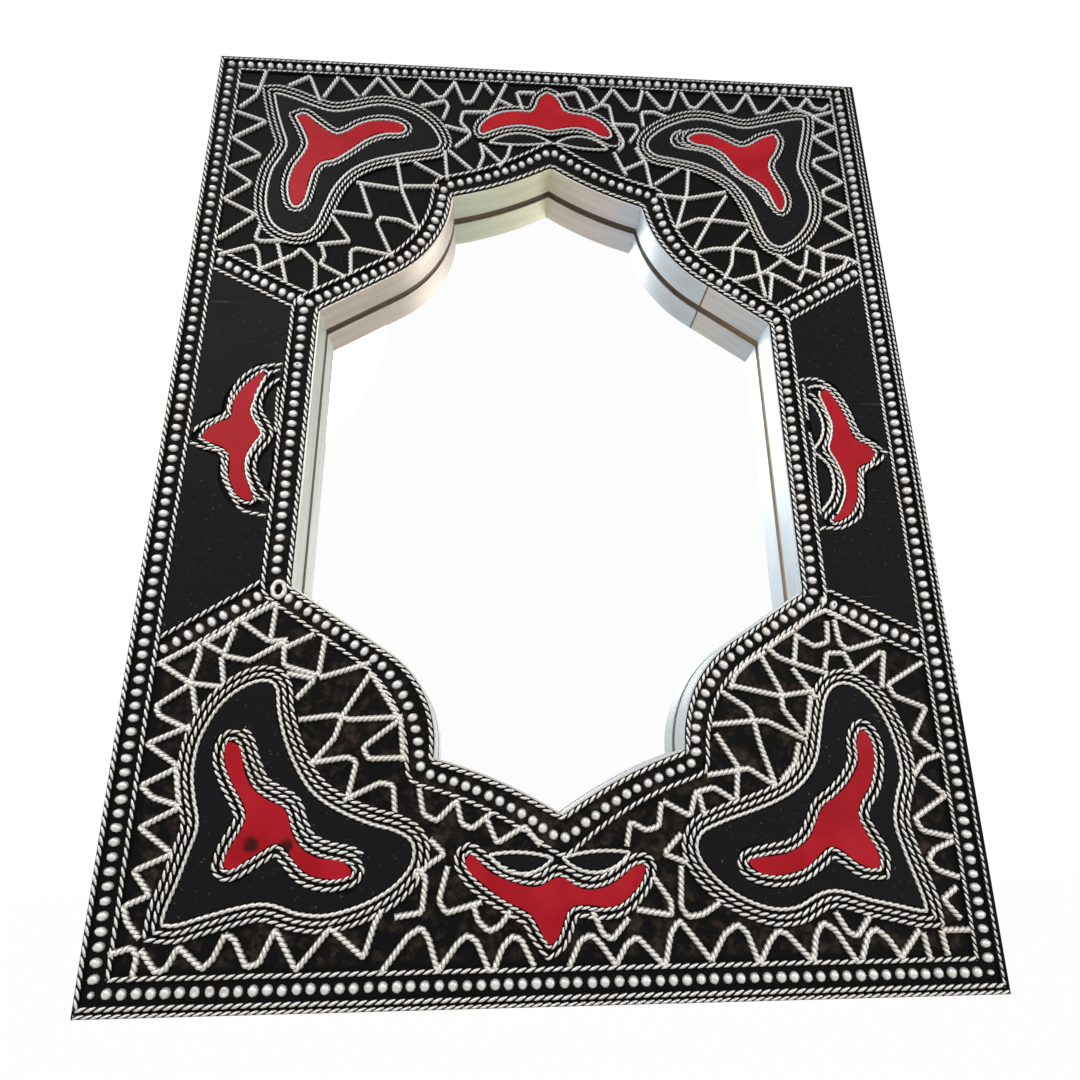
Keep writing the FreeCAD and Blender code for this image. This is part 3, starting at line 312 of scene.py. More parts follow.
def fieldFinish(look):
    material, place = newFinish("black satin field")
    cloud = place.noise(60.0, 4.0)
    speck = place.noise(1150.0, 2.0).rise(0.68, 0.76)
    scratch = place.noise(30.0, 3.0, 0.5, (1.0, 1.0, 26.0)).rise(0.68, 0.74) * cloud.rise(0.5, 0.7)
    worn = (speck * 0.5).math("MAXIMUM", scratch * 0.35)
    colour = worn.between(look["black"], look["dust"])
    roughness = 0.34 + cloud * 0.22 + worn * 0.2
    return coat(material, place, colour, roughness, bump=cloud + speck * 0.2, depth=0.00025, strength=0.35,
                gloss=look["gloss"])


def redFinish(look):
    material, place = newFinish("red inlay")
    cloud = place.noise(70.0, 4.0)
    grain = place.noise(900.0, 3.0)
    colour = cloud.rise(0.3, 0.7).between(look["deep"], look["bright"])
    burnt = None
    for x, z, size in look["burns"]:
        centre = (x, -look["front"], z)
        gap = place.node("VectorMath", {"operation": "SUBTRACT"}, {0: place, 1: centre})
        away = place.node("VectorMath", {"operation": "LENGTH"}, {0: gap}, "Value")
        spot = 1 - (away + (grain - 0.5) * size * 0.7).rise(size * 0.35, size)
        burnt = spot if burnt is None else burnt.math("MAXIMUM", spot)
    colour = (burnt * 0.92).between(colour, look["soot"])
    roughness = 0.2 + cloud * 0.12 + burnt * 0.3 + grain * 0.06
    return coat(material, place, colour, roughness, bump=cloud, depth=0.0004, strength=0.3,
                gloss=look["gloss"])


def linerFinish(name, tints):
    # the tints lie at places along x; a single one is the same all over
    material, place = newFinish(name)
    first = tints[0][0]
    reach = max(tints[-1][0] - first, 1.0)
    share = (place.axis("X") * 1000 - first) / reach
    stops = [((x - first) / reach, c) for x, c in tints]
    tint = place.node("ValToRGB", {"stops": stops + stops[-1:]}, {"Fac": share})
    shaded = place.node("Mix", {"data_type": "RGBA", "blend_type": "MULTIPLY"},
                        {0: 1.0, 6: tint, 7: (0.84, 0.84, 0.84, 1)}, 2)
    streak = place.noise(40.0, 4.0, 0.6, (1.0, 9.0, 1.0))
    smear = place.noise(22.0, 3.0)
    colour = streak.rise(0.3, 0.75).between(tint, shaded)
    roughness = 0.36 + smear * 0.2
    return coat(material, place, colour, roughness, metallic=0.6, bump=streak, depth=0.0002, strength=0.2)


def mirrorFinish(look):
    material, place = newFinish("silvered glass")
    haze = place.noise(18.0, 2.0)
    colour = haze.rise(0.2, 0.8).between(look["silver"], look["haze"])
    return coat(material, place, colour, 0.004 + haze * 0.01, metallic=1.0)


def woodFinish(name, look):
    material, place = newFinish(name)
    wander = place.noise(14.0, 3.0)
    grain = place.noise(34.0, 6.0, 0.6, look["run"])
    pore = place.noise(160.0, 3.0, 0.6, look["run"]).rise(0.56, 0.7)
    colour = (grain * 0.75 + wander * 0.25).rise(0.3, 0.72).between(look["pale"], look["dark"])
    colour = (pore * 0.55).between(colour, look["pore"])
    if "bare" in look:
        # raw wood shows on the wall of the opening; it is painted lighter on its right side and below its
        # top, a painted light where the lamp falls on that wall
        across, upward = place.axis("X"), place.axis("Z")
        inside = 1 - across.math("ABSOLUTE").rise(*look["wallWide"])
        inside = inside * (1 - upward.math("ABSOLUTE").rise(*look["wallTall"]))
        lit = across.rise(*look["litFrom"]) * (1 - upward.rise(*look["litBelow"]))
        colour = (inside * (0.12 + lit * 0.88)).between(colour, look["bare"])
    roughness = look["rough"] + grain * 0.2
    return coat(material, place, colour, roughness, bump=grain - pore * 0.5, depth=0.0004, strength=0.45)


def steelFinish(look):
    material, place = newFinish("hanger steel")
    brush = place.noise(220.0, 4.0, 0.6, (1.0, 1.0, 0.15))
    rust = place.noise(320.0, 4.0).rise(0.58, 0.74)
    colour = (rust * 0.6).between(look["bright"], look["rust"])
    roughness = 0.28 + brush * 0.2 + rust * 0.3
    return coat(material, place, colour, roughness, metallic=1.0 - rust * 0.7, bump=brush,
                depth=0.00005, strength=0.3)


finishes = {
    "rope": silverFinish("silver rope", {
        "light": (0.66, 0.64, 0.605), "warm": (0.56, 0.50, 0.40), "black": (0.008, 0.007, 0.007),
        "shadedTop": (0.34, 0.34, 0.335), "fade": 0.8,
        "speck": 650.0, "rag": 0.3, "low": 0.36, "high": 0.62, "metal": 0.55, "gloss": 0.2}),
    "fine": silverFinish("fine silver wire", {
        "light": (0.70, 0.675, 0.63), "warm": (0.60, 0.54, 0.43), "black": (0.012, 0.010, 0.010),
        "shadedTop": (0.42, 0.43, 0.44), "fade": 0.7,
        "speck": 700.0, "rag": 0.3, "low": 0.66, "high": 1.0, "metal": 0.5, "gloss": 0.3}),
    "bead": silverFinish("silver bead", {
        "light": (0.69, 0.675, 0.65), "warm": (0.60, 0.55, 0.46), "black": (0.014, 0.012, 0.011),
        "shadedTop": (0.44, 0.44, 0.435), "fade": 0.75,
        "speck": 420.0, "rag": 0.4, "low": 0.62, "high": 1.0, "metal": 0.4, "gloss": 0.4}),
    "ground": groundFinish({
        "lump": 300.0, "black": (0.0055, 0.0052, 0.0056), "brownAndSheen": (0.040, 0.0285, 0.019), "gloss": 0.03,
        "inside": (0.1095, 0.1455), "lower": (-0.12, 0.06)}),
    "field": fieldFinish({"black": (0.0085, 0.0085, 0.0095), "dust": (0.14, 0.14, 0.135), "gloss": 0.03}),
    "red": redFinish({
        "deep": (0.315, 0.0078, 0.0142), "bright": (0.395, 0.0135, 0.0215), "soot": (0.020, 0.008, 0.007),
        "burns": [(-0.0805, -0.1165, 0.0028), (-0.0715, -0.1170, 0.0026)], "front": 0.023,
        "gloss": 0.04}),
    "mirror": mirrorFinish({"silver": (0.98, 0.98, 0.98), "haze": (0.965, 0.97, 0.97)}),
    "board": woodFinish("dark board", {
        "run": (1.0, 1.0, 0.09), "pale": (0.085, 0.050, 0.026), "dark": (0.028, 0.016, 0.009),
        "pore": (0.012, 0.008, 0.005), "rough": 0.42, "bare": (0.34, 0.21, 0.095),
        "wallWide": (0.084, 0.088), "wallTall": (0.118, 0.122),
        "litFrom": (0.03, 0.07), "litBelow": (0.04, 0.07)}),
    "batten": woodFinish("batten wood", {
        "run": (1.0, 1.0, 0.08), "pale": (0.36, 0.22, 0.11), "dark": (0.17, 0.09, 0.042),
        "pore": (0.07, 0.035, 0.015), "rough": 0.5}),
    "rail": woodFinish("rail wood", {
        "run": (0.08, 1.0, 1.0), "pale": (0.35, 0.21, 0.105), "dark": (0.165, 0.088, 0.041),
        "pore": (0.07, 0.035, 0.015), "rough": 0.5}),
    "back": woodFinish("back board", {
        "run": (1.0, 1.0, 0.5), "pale": (0.30, 0.19, 0.10), "dark": (0.19, 0.11, 0.055),
        "pore": (0.10, 0.055, 0.027), "rough": 0.58}),
    "steel": steelFinish({"bright": (0.56, 0.55, 0.53), "rust": (0.16, 0.075, 0.035)}),
}
linerTints = {
    "liner_apex_top_left": [(-32, (0.68, 0.72, 0.56)), (-6, (0.78, 0.76, 0.55))],
    "liner_apex_top_right": [(5, (0.80, 0.74, 0.60)), (18, (0.78, 0.68, 0.63)), (32, (0.66, 0.69, 0.74))],
    "liner_lobe_top_left": [(0, (0.67, 0.59, 0.50))],
    "liner_lobe_top_right": [
        (34, (0.66, 0.73, 0.77)), (55.0, (0.66, 0.72, 0.76)), (55.2, (0.14, 0.11, 0.08)),
        (55.5, (0.14, 0.11, 0.08)), (55.7, (0.74, 0.70, 0.64)), (75, (0.66, 0.70, 0.74))],
    "liner_side_left": [(0, (0.54, 0.56, 0.49))],
    "liner_side_right": [(0, (0.58, 0.65, 0.71))],
    "liner_lobe_bottom_left": [(0, (0.60, 0.60, 0.58))],
    "liner_lobe_bottom_right": [(0, (0.56, 0.60, 0.62))],
    "liner_apex_bottom_left": [(0, (0.60, 0.59, 0.56))],
    "liner_apex_bottom_right": [(0, (0.58, 0.60, 0.60))],
}
for node, tints in linerTints.items():
    finishes[node] = linerFinish("nickel " + node.replace("_", " "), tints)
print("finishes made:", len(finishes))

# Twisted wire: one tooth is modelled, then repeated and bent along its line
# bare gives the heights, as shares of the rope's own, above which it is clean and below which it is black,
# and grime is how black the twist itself is
toothLook = {"sides": 8, "rings": 5, "shoulder": (1, 1.06, 0.95)}
usualRope = {"tall": 1.0, "grime": 1.0}
ropeLooks = {
    "rope": {"radius": 0.7, "waist": 0.22, "tooth": 2.35, "lift": 0.56, "bare": (0.87, 0.68)},
    "tight": {"radius": 0.64, "waist": 0.24, "tooth": 1.75, "lift": 0.56, "bare": (0.88, 0.69)},
    "worn": {"radius": 0.6, "waist": 0.22, "tooth": 1.9, "lift": 0.5, "bare": (0.94, 0.76)},
    "hair": {"radius": 0.4, "waist": 0.7, "tooth": 1.7, "lift": 0.74, "bare": (0.5, 0.25), "grime": 0.45},
    "edge": {"radius": 0.52, "waist": 0.24, "tooth": 2.2, "lift": 0.34, "bare": (0.74, 0.5)},
    "close": {"radius": 0.58, "waist": 0.36, "tooth": 1.9, "lift": 0.58, "bare": (0.8, 0.58), "grime": 0.9},
    "soft": {"radius": 0.56, "waist": 0.58, "tooth": 1.9, "lift": 0.62, "bare": (0.56, 0.3), "grime": 0.52},
    "plain": {"radius": 0.78, "waist": 0.84, "tooth": 2.0, "lift": 0.5, "bare": (0.5, 0.25), "grime": 0.42},
    "thin": {"radius": 0.77, "waist": 0.6, "tooth": 1.5, "tall": 1.4, "lift": 0.36, "bare": (0.3, 0.05)},
    "filigree": {"radius": 0.86, "waist": 0.66, "tooth": 1.5, "tall": 1.25, "lift": 0.36,
                 "bare": (0.3, 0.05)},
}
ropeLooks = {kind: {**usualRope, **look} for kind, look in ropeLooks.items()}


def modelTooth(name, look):
    deselectAll()
    bpy.ops.mesh.primitive_circle_add(vertices=toothLook["sides"], radius=look["radius"], fill_type="NGON",
                                      rotation=(0, math.pi / 2, 0))
    tooth = bpy.context.object
    tooth.name = name
    bpy.ops.object.transform_apply(rotation=True)
    near = look["radius"] * 0.2
    selectPoints(tooth, lambda co: abs(co.y) < near)  # the waist between the two strands
    bpy.ops.transform.resize(value=(1, 1, look["waist"]), center_override=(0, 0, 0))
    selectPoints(tooth, lambda co: abs(co.y) > near and abs(co.z) > near)
    bpy.ops.transform.resize(value=toothLook["shoulder"], center_override=(0, 0, 0))
    bpy.ops.mesh.select_all(action="SELECT")
    rings = toothLook["rings"]
    step = look["tooth"] / rings
    for ring in range(rings):
        bpy.ops.mesh.extrude_region_move(TRANSFORM_OT_translate={"value": (step, 0, 0)})
        bpy.ops.transform.rotate(value=math.pi / rings, orient_axis="X",
                                 center_override=(step * (ring + 1), 0, 0))
    bpy.ops.object.mode_set(mode="OBJECT")
    bpy.ops.object.mode_set(mode="EDIT")
    bpy.ops.mesh.select_mode(type="FACE")
    bpy.ops.mesh.select_all(action="DESELECT")
    bpy.ops.object.mode_set(mode="OBJECT")
    for face in tooth.data.polygons:
        face.select = len(face.vertices) > 4  # the two ends stay open, the next tooth joins there
    bpy.ops.object.mode_set(mode="EDIT")
    bpy.ops.mesh.delete(type="ONLY_FACE")
    bpy.ops.object.mode_set(mode="OBJECT")
    bpy.ops.object.shade_smooth()
    groove = tooth.data.attributes.new("groove", "FLOAT", "POINT")
    for vert, value in zip(tooth.data.vertices, groove.data):
        out = math.hypot(vert.co.y, vert.co.z) / look["radius"]
        value.value = look["grime"] * min(1.0, max(0.0, (1.0 - out) / (1.0 - look["waist"])))
    return tooth


teeth = {name: modelTooth("tooth_" + name, look) for name, look in ropeLooks.items()}


def layRope(kind, path, closed=False):
    look = ropeLooks[kind]
    total = lengthOf(path, closed)
    count = max(2, round(total / look["tooth"]))
    size = total / count
    curve = bpy.data.curves.new("ropeLine", "CURVE")
    curve.dimensions = "2D"
    spline = curve.splines.new("POLY")
    spline.points.add(len(path) - 1)
    for point, spot in zip(spline.points, path):
        point.co = (spot.x, spot.y, 0, 1)
    spline.use_cyclic_u = closed
    line = bpy.data.objects.new("ropeLine", curve)
    bpy.context.collection.objects.link(line)
    rope = teeth[kind].copy()
    rope.data = teeth[kind].data.copy()
    bpy.context.collection.objects.link(rope)
    rope.data.transform(Matrix.Scale(size / look["tooth"], 4, (1, 0, 0)))
    repeat = rope.modifiers.new("repeat", "ARRAY")
    repeat.count = count
    repeat.use_relative_offset = False
    repeat.use_constant_offset = True
    repeat.constant_offset_displace = (size, 0, 0)
    bend = rope.modifiers.new("bend", "CURVE")
    bend.object = line
    pick(rope)
    bpy.ops.object.modifier_apply(modifier="repeat")
    bpy.ops.object.modifier_apply(modifier="bend")
    rope.data.transform(Matrix.Translation((0, 0, look["lift"])) @ Matrix.Scale(look["tall"], 4, (0, 0, 1)))
    bpy.data.objects.remove(line)
    bpy.data.curves.remove(curve)
    top = look["lift"] + look["radius"] * look["tall"]
    clean, black = look["bare"]
    for vert, value in zip(rope.data.vertices, rope.data.attributes["groove"].data):
        sunk = (clean - vert.co.z / top) / (clean - black)  # the resin the wire lies in
        value.value = max(value.value, min(1.0, sunk))
    return rope


def ropePiece(name, ropes, finish, *nodes):
    piece = closeUp(joinAll(ropes, name))
    standOnFront(piece)
    dress(piece, "frame", "silver_wire", finishes[finish], *nodes)
    print(name, len(piece.data.polygons), "faces")


wavers = {"border": 0.14, "row": 0.1, "fine": 0.08}
seeds = {"rim": 1.3, "outer": 2.1, "inner": 3.7, "openingInner": 4.4, "openingOuter": 5.2, "slanted": 6.0,
         "medallion": 7.0, "inlay": 8.5, "inlayOuter": 9.0, "free": 9.5, "thirdRow": 10.0,
         "side": 20.0, "sideOuter": 24.0, "almond": 28.0}


def waver(path, amount, seed, scale=0.11):
    # hand-laid wire never runs quite true
    moved = []
    for spot in path:
        at = Vector((spot.x * scale, spot.y * scale, seed))
        moved.append(spot + Vector((noise.noise(at), noise.noise(at + Vector((9, 4, 2))))) * amount)
    return moved


def straight(a, b, step=5.0):
    a, b = Vector(a), Vector(b)
    parts = max(1, round((b - a).length / step))
    return [a + (b - a) * (k / parts) for k in range(parts + 1)]


def rounded(path, reach, closed=True, sharp=0.6, share=0.45):
    # wire goes round a corner over a short length
    count = len(path)
    line = []
    for k, spot in enumerate(path):
        if not closed and k in (0, count - 1):
            line.append(spot)
            continue
        into, out = path[k - 1] - spot, path[(k + 1) % count] - spot
        if into.angle(out, math.pi) > math.pi - sharp:
            line.append(spot)
            continue
        cut = min(reach, into.length * share, out.length * share)
        a, b = spot + into.normalized() * cut, spot + out.normalized() * cut
        line += [a, (a + b) * 0.25 + spot * 0.5, b]
    return line


def treeOf(path):
    tree = KDTree(len(path))
    for k, spot in enumerate(path):
        tree.insert((spot.x, spot.y, 0), k)
    tree.balance()
    return tree


def beside(path, step, parts=4, apart=0.25):
    # a line beside a closed one, cleared of the loops that tight bends would give it
    ends = zip(path, path[1:] + path[:1])
    tree = treeOf([a.lerp(b, part / parts) for a, b in ends for part in range(parts)])
    room = abs(step) * 0.97 - 0.02  # a little less than the step
    line = []
    for spot in offsetLine(path, step):
        if tree.find((spot.x, spot.y, 0))[2] > room and (not line or (spot - line[-1]).length > apart):
            line.append(spot)
    return line


# Borders: how far each row lies in from each edge, the lean of the right runs, and the rope on the rim
borderLook = {
    "outer": {"left": 1.1, "right": 2.75, "top": 1.85, "bottom": 2.3},
    "beads": {"left": 4.2, "right": 5.7, "top": 4.15, "bottom": 5.4},
    "inner": {"left": 7.8, "right": 9.1, "top": 6.85, "bottom": 8.75},
    "lean": 0.9, "rim": 0.65,
    "rightRim": ((119.2, -78.0), (117.9, 154.6)),
}
borderKinds = {"outer": ("rope", "worn", "worn", "rope"), "inner": ("rope", "tight", "worn", "rope")}

# The opening: apex, cusp, knee and shoulder in each quarter of its edge and of the line its rows follow
openingLook = {
    "edge": {
        "top_left": [(1.6, 109.7), (-33.2, 95.4), (-52.2, 62.1), (-75.6, 47.4)],
        "top_right": [(1.6, 109.7), (33.6, 94.1), (53.3, 62.9), (75.2, 47.4)],
        "bottom_left": [(1.6, -109.7), (-33.3, -94.8), (-47.0, -65.5), (-76.1, -46.3)],
        "bottom_right": [(1.6, -109.7), (36.4, -92.8), (52.6, -62.0), (75.7, -46.8)],
    },
    "rows": {
        "top_left": [(1.6, 112.7), (-32.5, 96.9), (-53.8, 60.6), (-76.6, 47.0)],
        "top_right": [(1.6, 112.7), (34.7, 95.8), (54.1, 62.3), (74.5, 47.1)],
        "bottom_left": [(1.6, -111.5), (-33.3, -95.0), (-51.9, -61.5), (-77.0, -44.6)],
        "bottom_right": [(1.6, -111.5), (35.5, -93.4), (52.9, -60.9), (75.4, -46.2)],
    },
    "sag": {"edge": 1.4, "rows": 1.8}, "ropeStep": 1.25, "beadStep": 4.35, "outerStep": 7.7,
    "eased": {"inner": 3, "outer": 10, "beads": 8}, "stride": 2.0, "apexParts": 14,
}


def borderCorners(row):
    inset, lean = borderLook[row], borderLook["lean"]
    left, right = inset["left"] - halfWidth, halfWidth - inset["right"]
    low, high = inset["bottom"] - halfHeight, halfHeight - inset["top"]
    return [Vector(p) for p in ((left, low), (right + lean, low), (right - lean, high), (left, high))]


def borderRuns(row, seed):
    corners = borderCorners(row)
    return [waver(straight(a, b), wavers["border"], seed) for a, b in zip(corners, corners[1:] + corners[:1])]


def openingRun(points, sag):
    apex, cusp, knee, shoulder = [Vector(point) for point in points]
    chord = cusp - apex
    inward = Vector((-chord.y, chord.x)).normalized()
    middle = (apex + cusp) / 2
    if inward.dot(middle) > 0:
        inward = -inward
    run = arcThrough(apex, middle + inward * sag, cusp, openingLook["apexParts"])[:-1]
    heading = (shoulder - knee).normalized()
    normal = Vector((-heading.y, heading.x))
    back = cusp - knee
    radius = back.dot(back) / (2 * back.dot(normal))
    centre = knee + normal * radius
    bulge = centre + ((cusp + knee) / 2 - centre).normalized() * abs(radius)
    run += arcThrough(cusp, bulge, knee)[:-1]
    return run + straight(knee, shoulder, openingLook["stride"])


def openingLine(kind):
    sag, stride = openingLook["sag"][kind], openingLook["stride"]
    runs = {quarter: openingRun(points, sag) for quarter, points in openingLook[kind].items()}
    line = runs["top_right"] + straight(runs["top_right"][-1], runs["bottom_right"][-1], stride)[1:-1]
    line += runs["bottom_right"][::-1] + runs["bottom_left"][1:]
    line += straight(runs["bottom_left"][-1], runs["top_left"][-1], stride)[1:-1]
    return ccw(line + runs["top_left"][::-1][:-1])


def soften(path, passes, pitch=1.0):
    # bends eased by hand, on a line laid out again in even steps
    line = evenly(path, pitch, True)
    for count in range(passes):
        line = [(line[k - 1] + spot * 2 + line[(k + 1) % len(line)]) / 4 for k, spot in enumerate(line)]
    return line


opening = openingLine("edge")
rowLine = openingLine("rows")
rim = [Vector((sx * (halfWidth - borderLook["rim"]), borderLook["rim"] - halfHeight)) for sx in (-1, 1)]
# the wire on the right edge shows in the upper part only
rightRim = waver(straight(*borderLook["rightRim"]), wavers["fine"], seeds["rim"])
ropePiece("rope_rim", [layRope("edge", straight(*rim)), layRope("worn", rightRim)], "rope", "edge_wire")
for row in ("outer", "inner"):
    runs = [layRope(kind, run) for kind, run in zip(borderKinds[row], borderRuns(row, seeds[row]))]
    ropePiece("rope_border_" + row, runs, "rope", "border_wire_" + row)
# a stray turn of wire on the left lower shoulder
curl = {"centre": (-80.0, -47.2), "reach": (1.75, 2.35), "parts": 20}
turn = [Vector(curl["centre"]) + Vector((math.cos(a) * curl["reach"][0], math.sin(a) * curl["reach"][1]))
        for a in (math.tau * k / curl["parts"] for k in range(curl["parts"]))]
eased = openingLook["eased"]
innerLine = soften(beside(opening, -openingLook["ropeStep"]), eased["inner"])
innerLine = waver(innerLine, wavers["fine"], seeds["openingInner"])
outerLine = soften(beside(rowLine, -openingLook["outerStep"]), eased["outer"])
outerLine = waver(outerLine, wavers["row"], seeds["openingOuter"])
ropePiece("rope_opening_inner", [layRope("rope", innerLine, True), layRope("plain", turn, True)], "rope",
          "opening_wire_inner")
ropePiece("rope_opening_outer", [layRope("rope", outerLine, True)], "rope", "opening_wire_outer")

# Slanted rows: the height of each at the outer edge and at the opening, and its ropes' step
slantLook = {
    "top_left": (70.8, 47.6), "top_right": (76.4, 48.6), "bottom_left": (70.7, 43.0),
    "bottom_right": (67.4, 46.2), "foot": 75.7, "step": 3.4, "edgeRoom": 0.75, "openingRoom": 8.5,
    "longest": 60, "stride": 0.3, "beadStart": 1.6,
    "beadRoom": {"top_left": 1.4, "top_right": -1.2, "bottom_left": -1.6, "bottom_right": 0.6},
}


def slantEnds(quarter, offset):
    across, up = quarters[quarter]
    outer, inner = slantLook[quarter]
    a = Vector((across * halfWidth, up * outer))
    b = Vector((across * slantLook["foot"], up * inner))
    along = (b - a).normalized()
    side = Vector((-along.y, along.x)) * offset
    border = borderLook["inner"]["left" if across < 0 else "right"] + slantLook["edgeRoom"]
    if across > 0:
        border += borderLook["lean"] * up * outer / halfHeight
    first = a + side
    first += along * ((border - (halfWidth - abs(first.x))) / abs(along.x))
    tree = treeOf(rowLine)
    last = first.copy()
    while (tree.find((last.x, last.y, 0))[2] > slantLook["openingRoom"]
           and (last - first).length < slantLook["longest"]):
        last += along * slantLook["stride"]
    return first, last


slantRopes = []
for quarter in quarters:
    for offset in (-slantLook["step"], slantLook["step"]):
        line = waver(straight(*slantEnds(quarter, offset)), wavers["row"], seeds["slanted"])
        slantRopes.append(layRope("rope", line))
ropePiece("rope_slanted_rows", slantRopes, "rope", "slanted_row_wires")

# Medallions and inlays, in millimetres from the middle of the front; each line starts at its tip
medallionLines = {
    "top_left": [
        (-103.3, 141.3), (-97.5, 142), (-91, 140.2), (-84, 137.2), (-77, 135.1), (-70, 136.7), (-64, 138.5),
        (-58, 139), (-51, 137.4), (-44.5, 134), (-39, 129), (-35.8, 123.5), (-34.7, 118.3), (-37.6, 113.4),
        (-44, 111.3), (-53, 109), (-61, 106.3), (-67, 102.2), (-71.3, 95.6), (-73.8, 88), (-76, 80.5),
        (-79.5, 75.5), (-85, 73.4), (-91.5, 74.8), (-97, 79.2), (-100.2, 86.5), (-101, 95), (-100, 104.5),
        (-97.4, 111.2), (-96.1, 115.5), (-97.8, 120.8), (-99.8, 127), (-101.6, 134)],
    "top_right": [
        (101.5, 140.6), (101.4, 134.5), (100, 128), (98.2, 121), (96.8, 114.5), (98.2, 108.5), (99.7, 102),
        (99.2, 95), (97.2, 88.5), (93, 82.2), (88.3, 77.8), (83, 75.4), (77.5, 77.2), (74.2, 82), (72, 89),
        (69.4, 97), (65.8, 103.2), (60.5, 107.7), (54, 110.8), (46.5, 112.5), (39.5, 114), (35.2, 117.3),
        (33.7, 122), (35.3, 127), (40, 132), (46, 135.8), (53, 138.6), (60, 139.2), (67, 137.7),
        (74.5, 135.9), (82, 137.8), (90, 140.2), (96.5, 141.4)],
    "bottom_left": [
        (-104.8, -138.4), (-104.2, -131.5), (-102, -124.5), (-100, -117), (-98.7, -111.5), (-100.2, -105.8),
        (-101.6, -98.5), (-101.2, -91), (-99.3, -84.8), (-95.8, -78.4), (-90.5, -73.2), (-84, -70.2),
        (-78, -70.6), (-74.4, -74.5), (-73.2, -81), (-71.2, -87.5), (-67.8, -94.5), (-63.2, -100.7),
        (-57, -104.8), (-49.5, -107.9), (-42, -110), (-36.8, -113), (-34.5, -117.5), (-35.3, -123.5),
        (-39.5, -129), (-45.5, -133), (-53, -136), (-60.5, -137.4), (-68, -136.7), (-75.5, -134.5),
        (-82, -135.2), (-90, -137.2), (-97.5, -139)],
    "bottom_right": [
        (104, -139), (103.3, -132.5), (101.8, -126.5), (99.8, -119.5), (98.4, -113), (99.8, -107),
        (102, -101.5), (102.2, -95), (101, -88), (98.6, -81.5), (95, -76), (90, -72), (84.5, -70.8),
        (79.5, -72.6), (76, -76.8), (74, -82.5), (72.5, -88.5), (70.6, -94.8), (66.5, -100), (60, -103.6),
        (52, -106.4), (44.5, -108.8), (38, -111.8), (34.9, -116.5), (35.2, -122), (38.5, -127.3),
        (44, -132.2), (51, -136), (58.5, -137.9), (66, -137.3), (73, -134), (77.5, -134), (84, -136),
        (92, -137.7), (98.5, -139)],
}
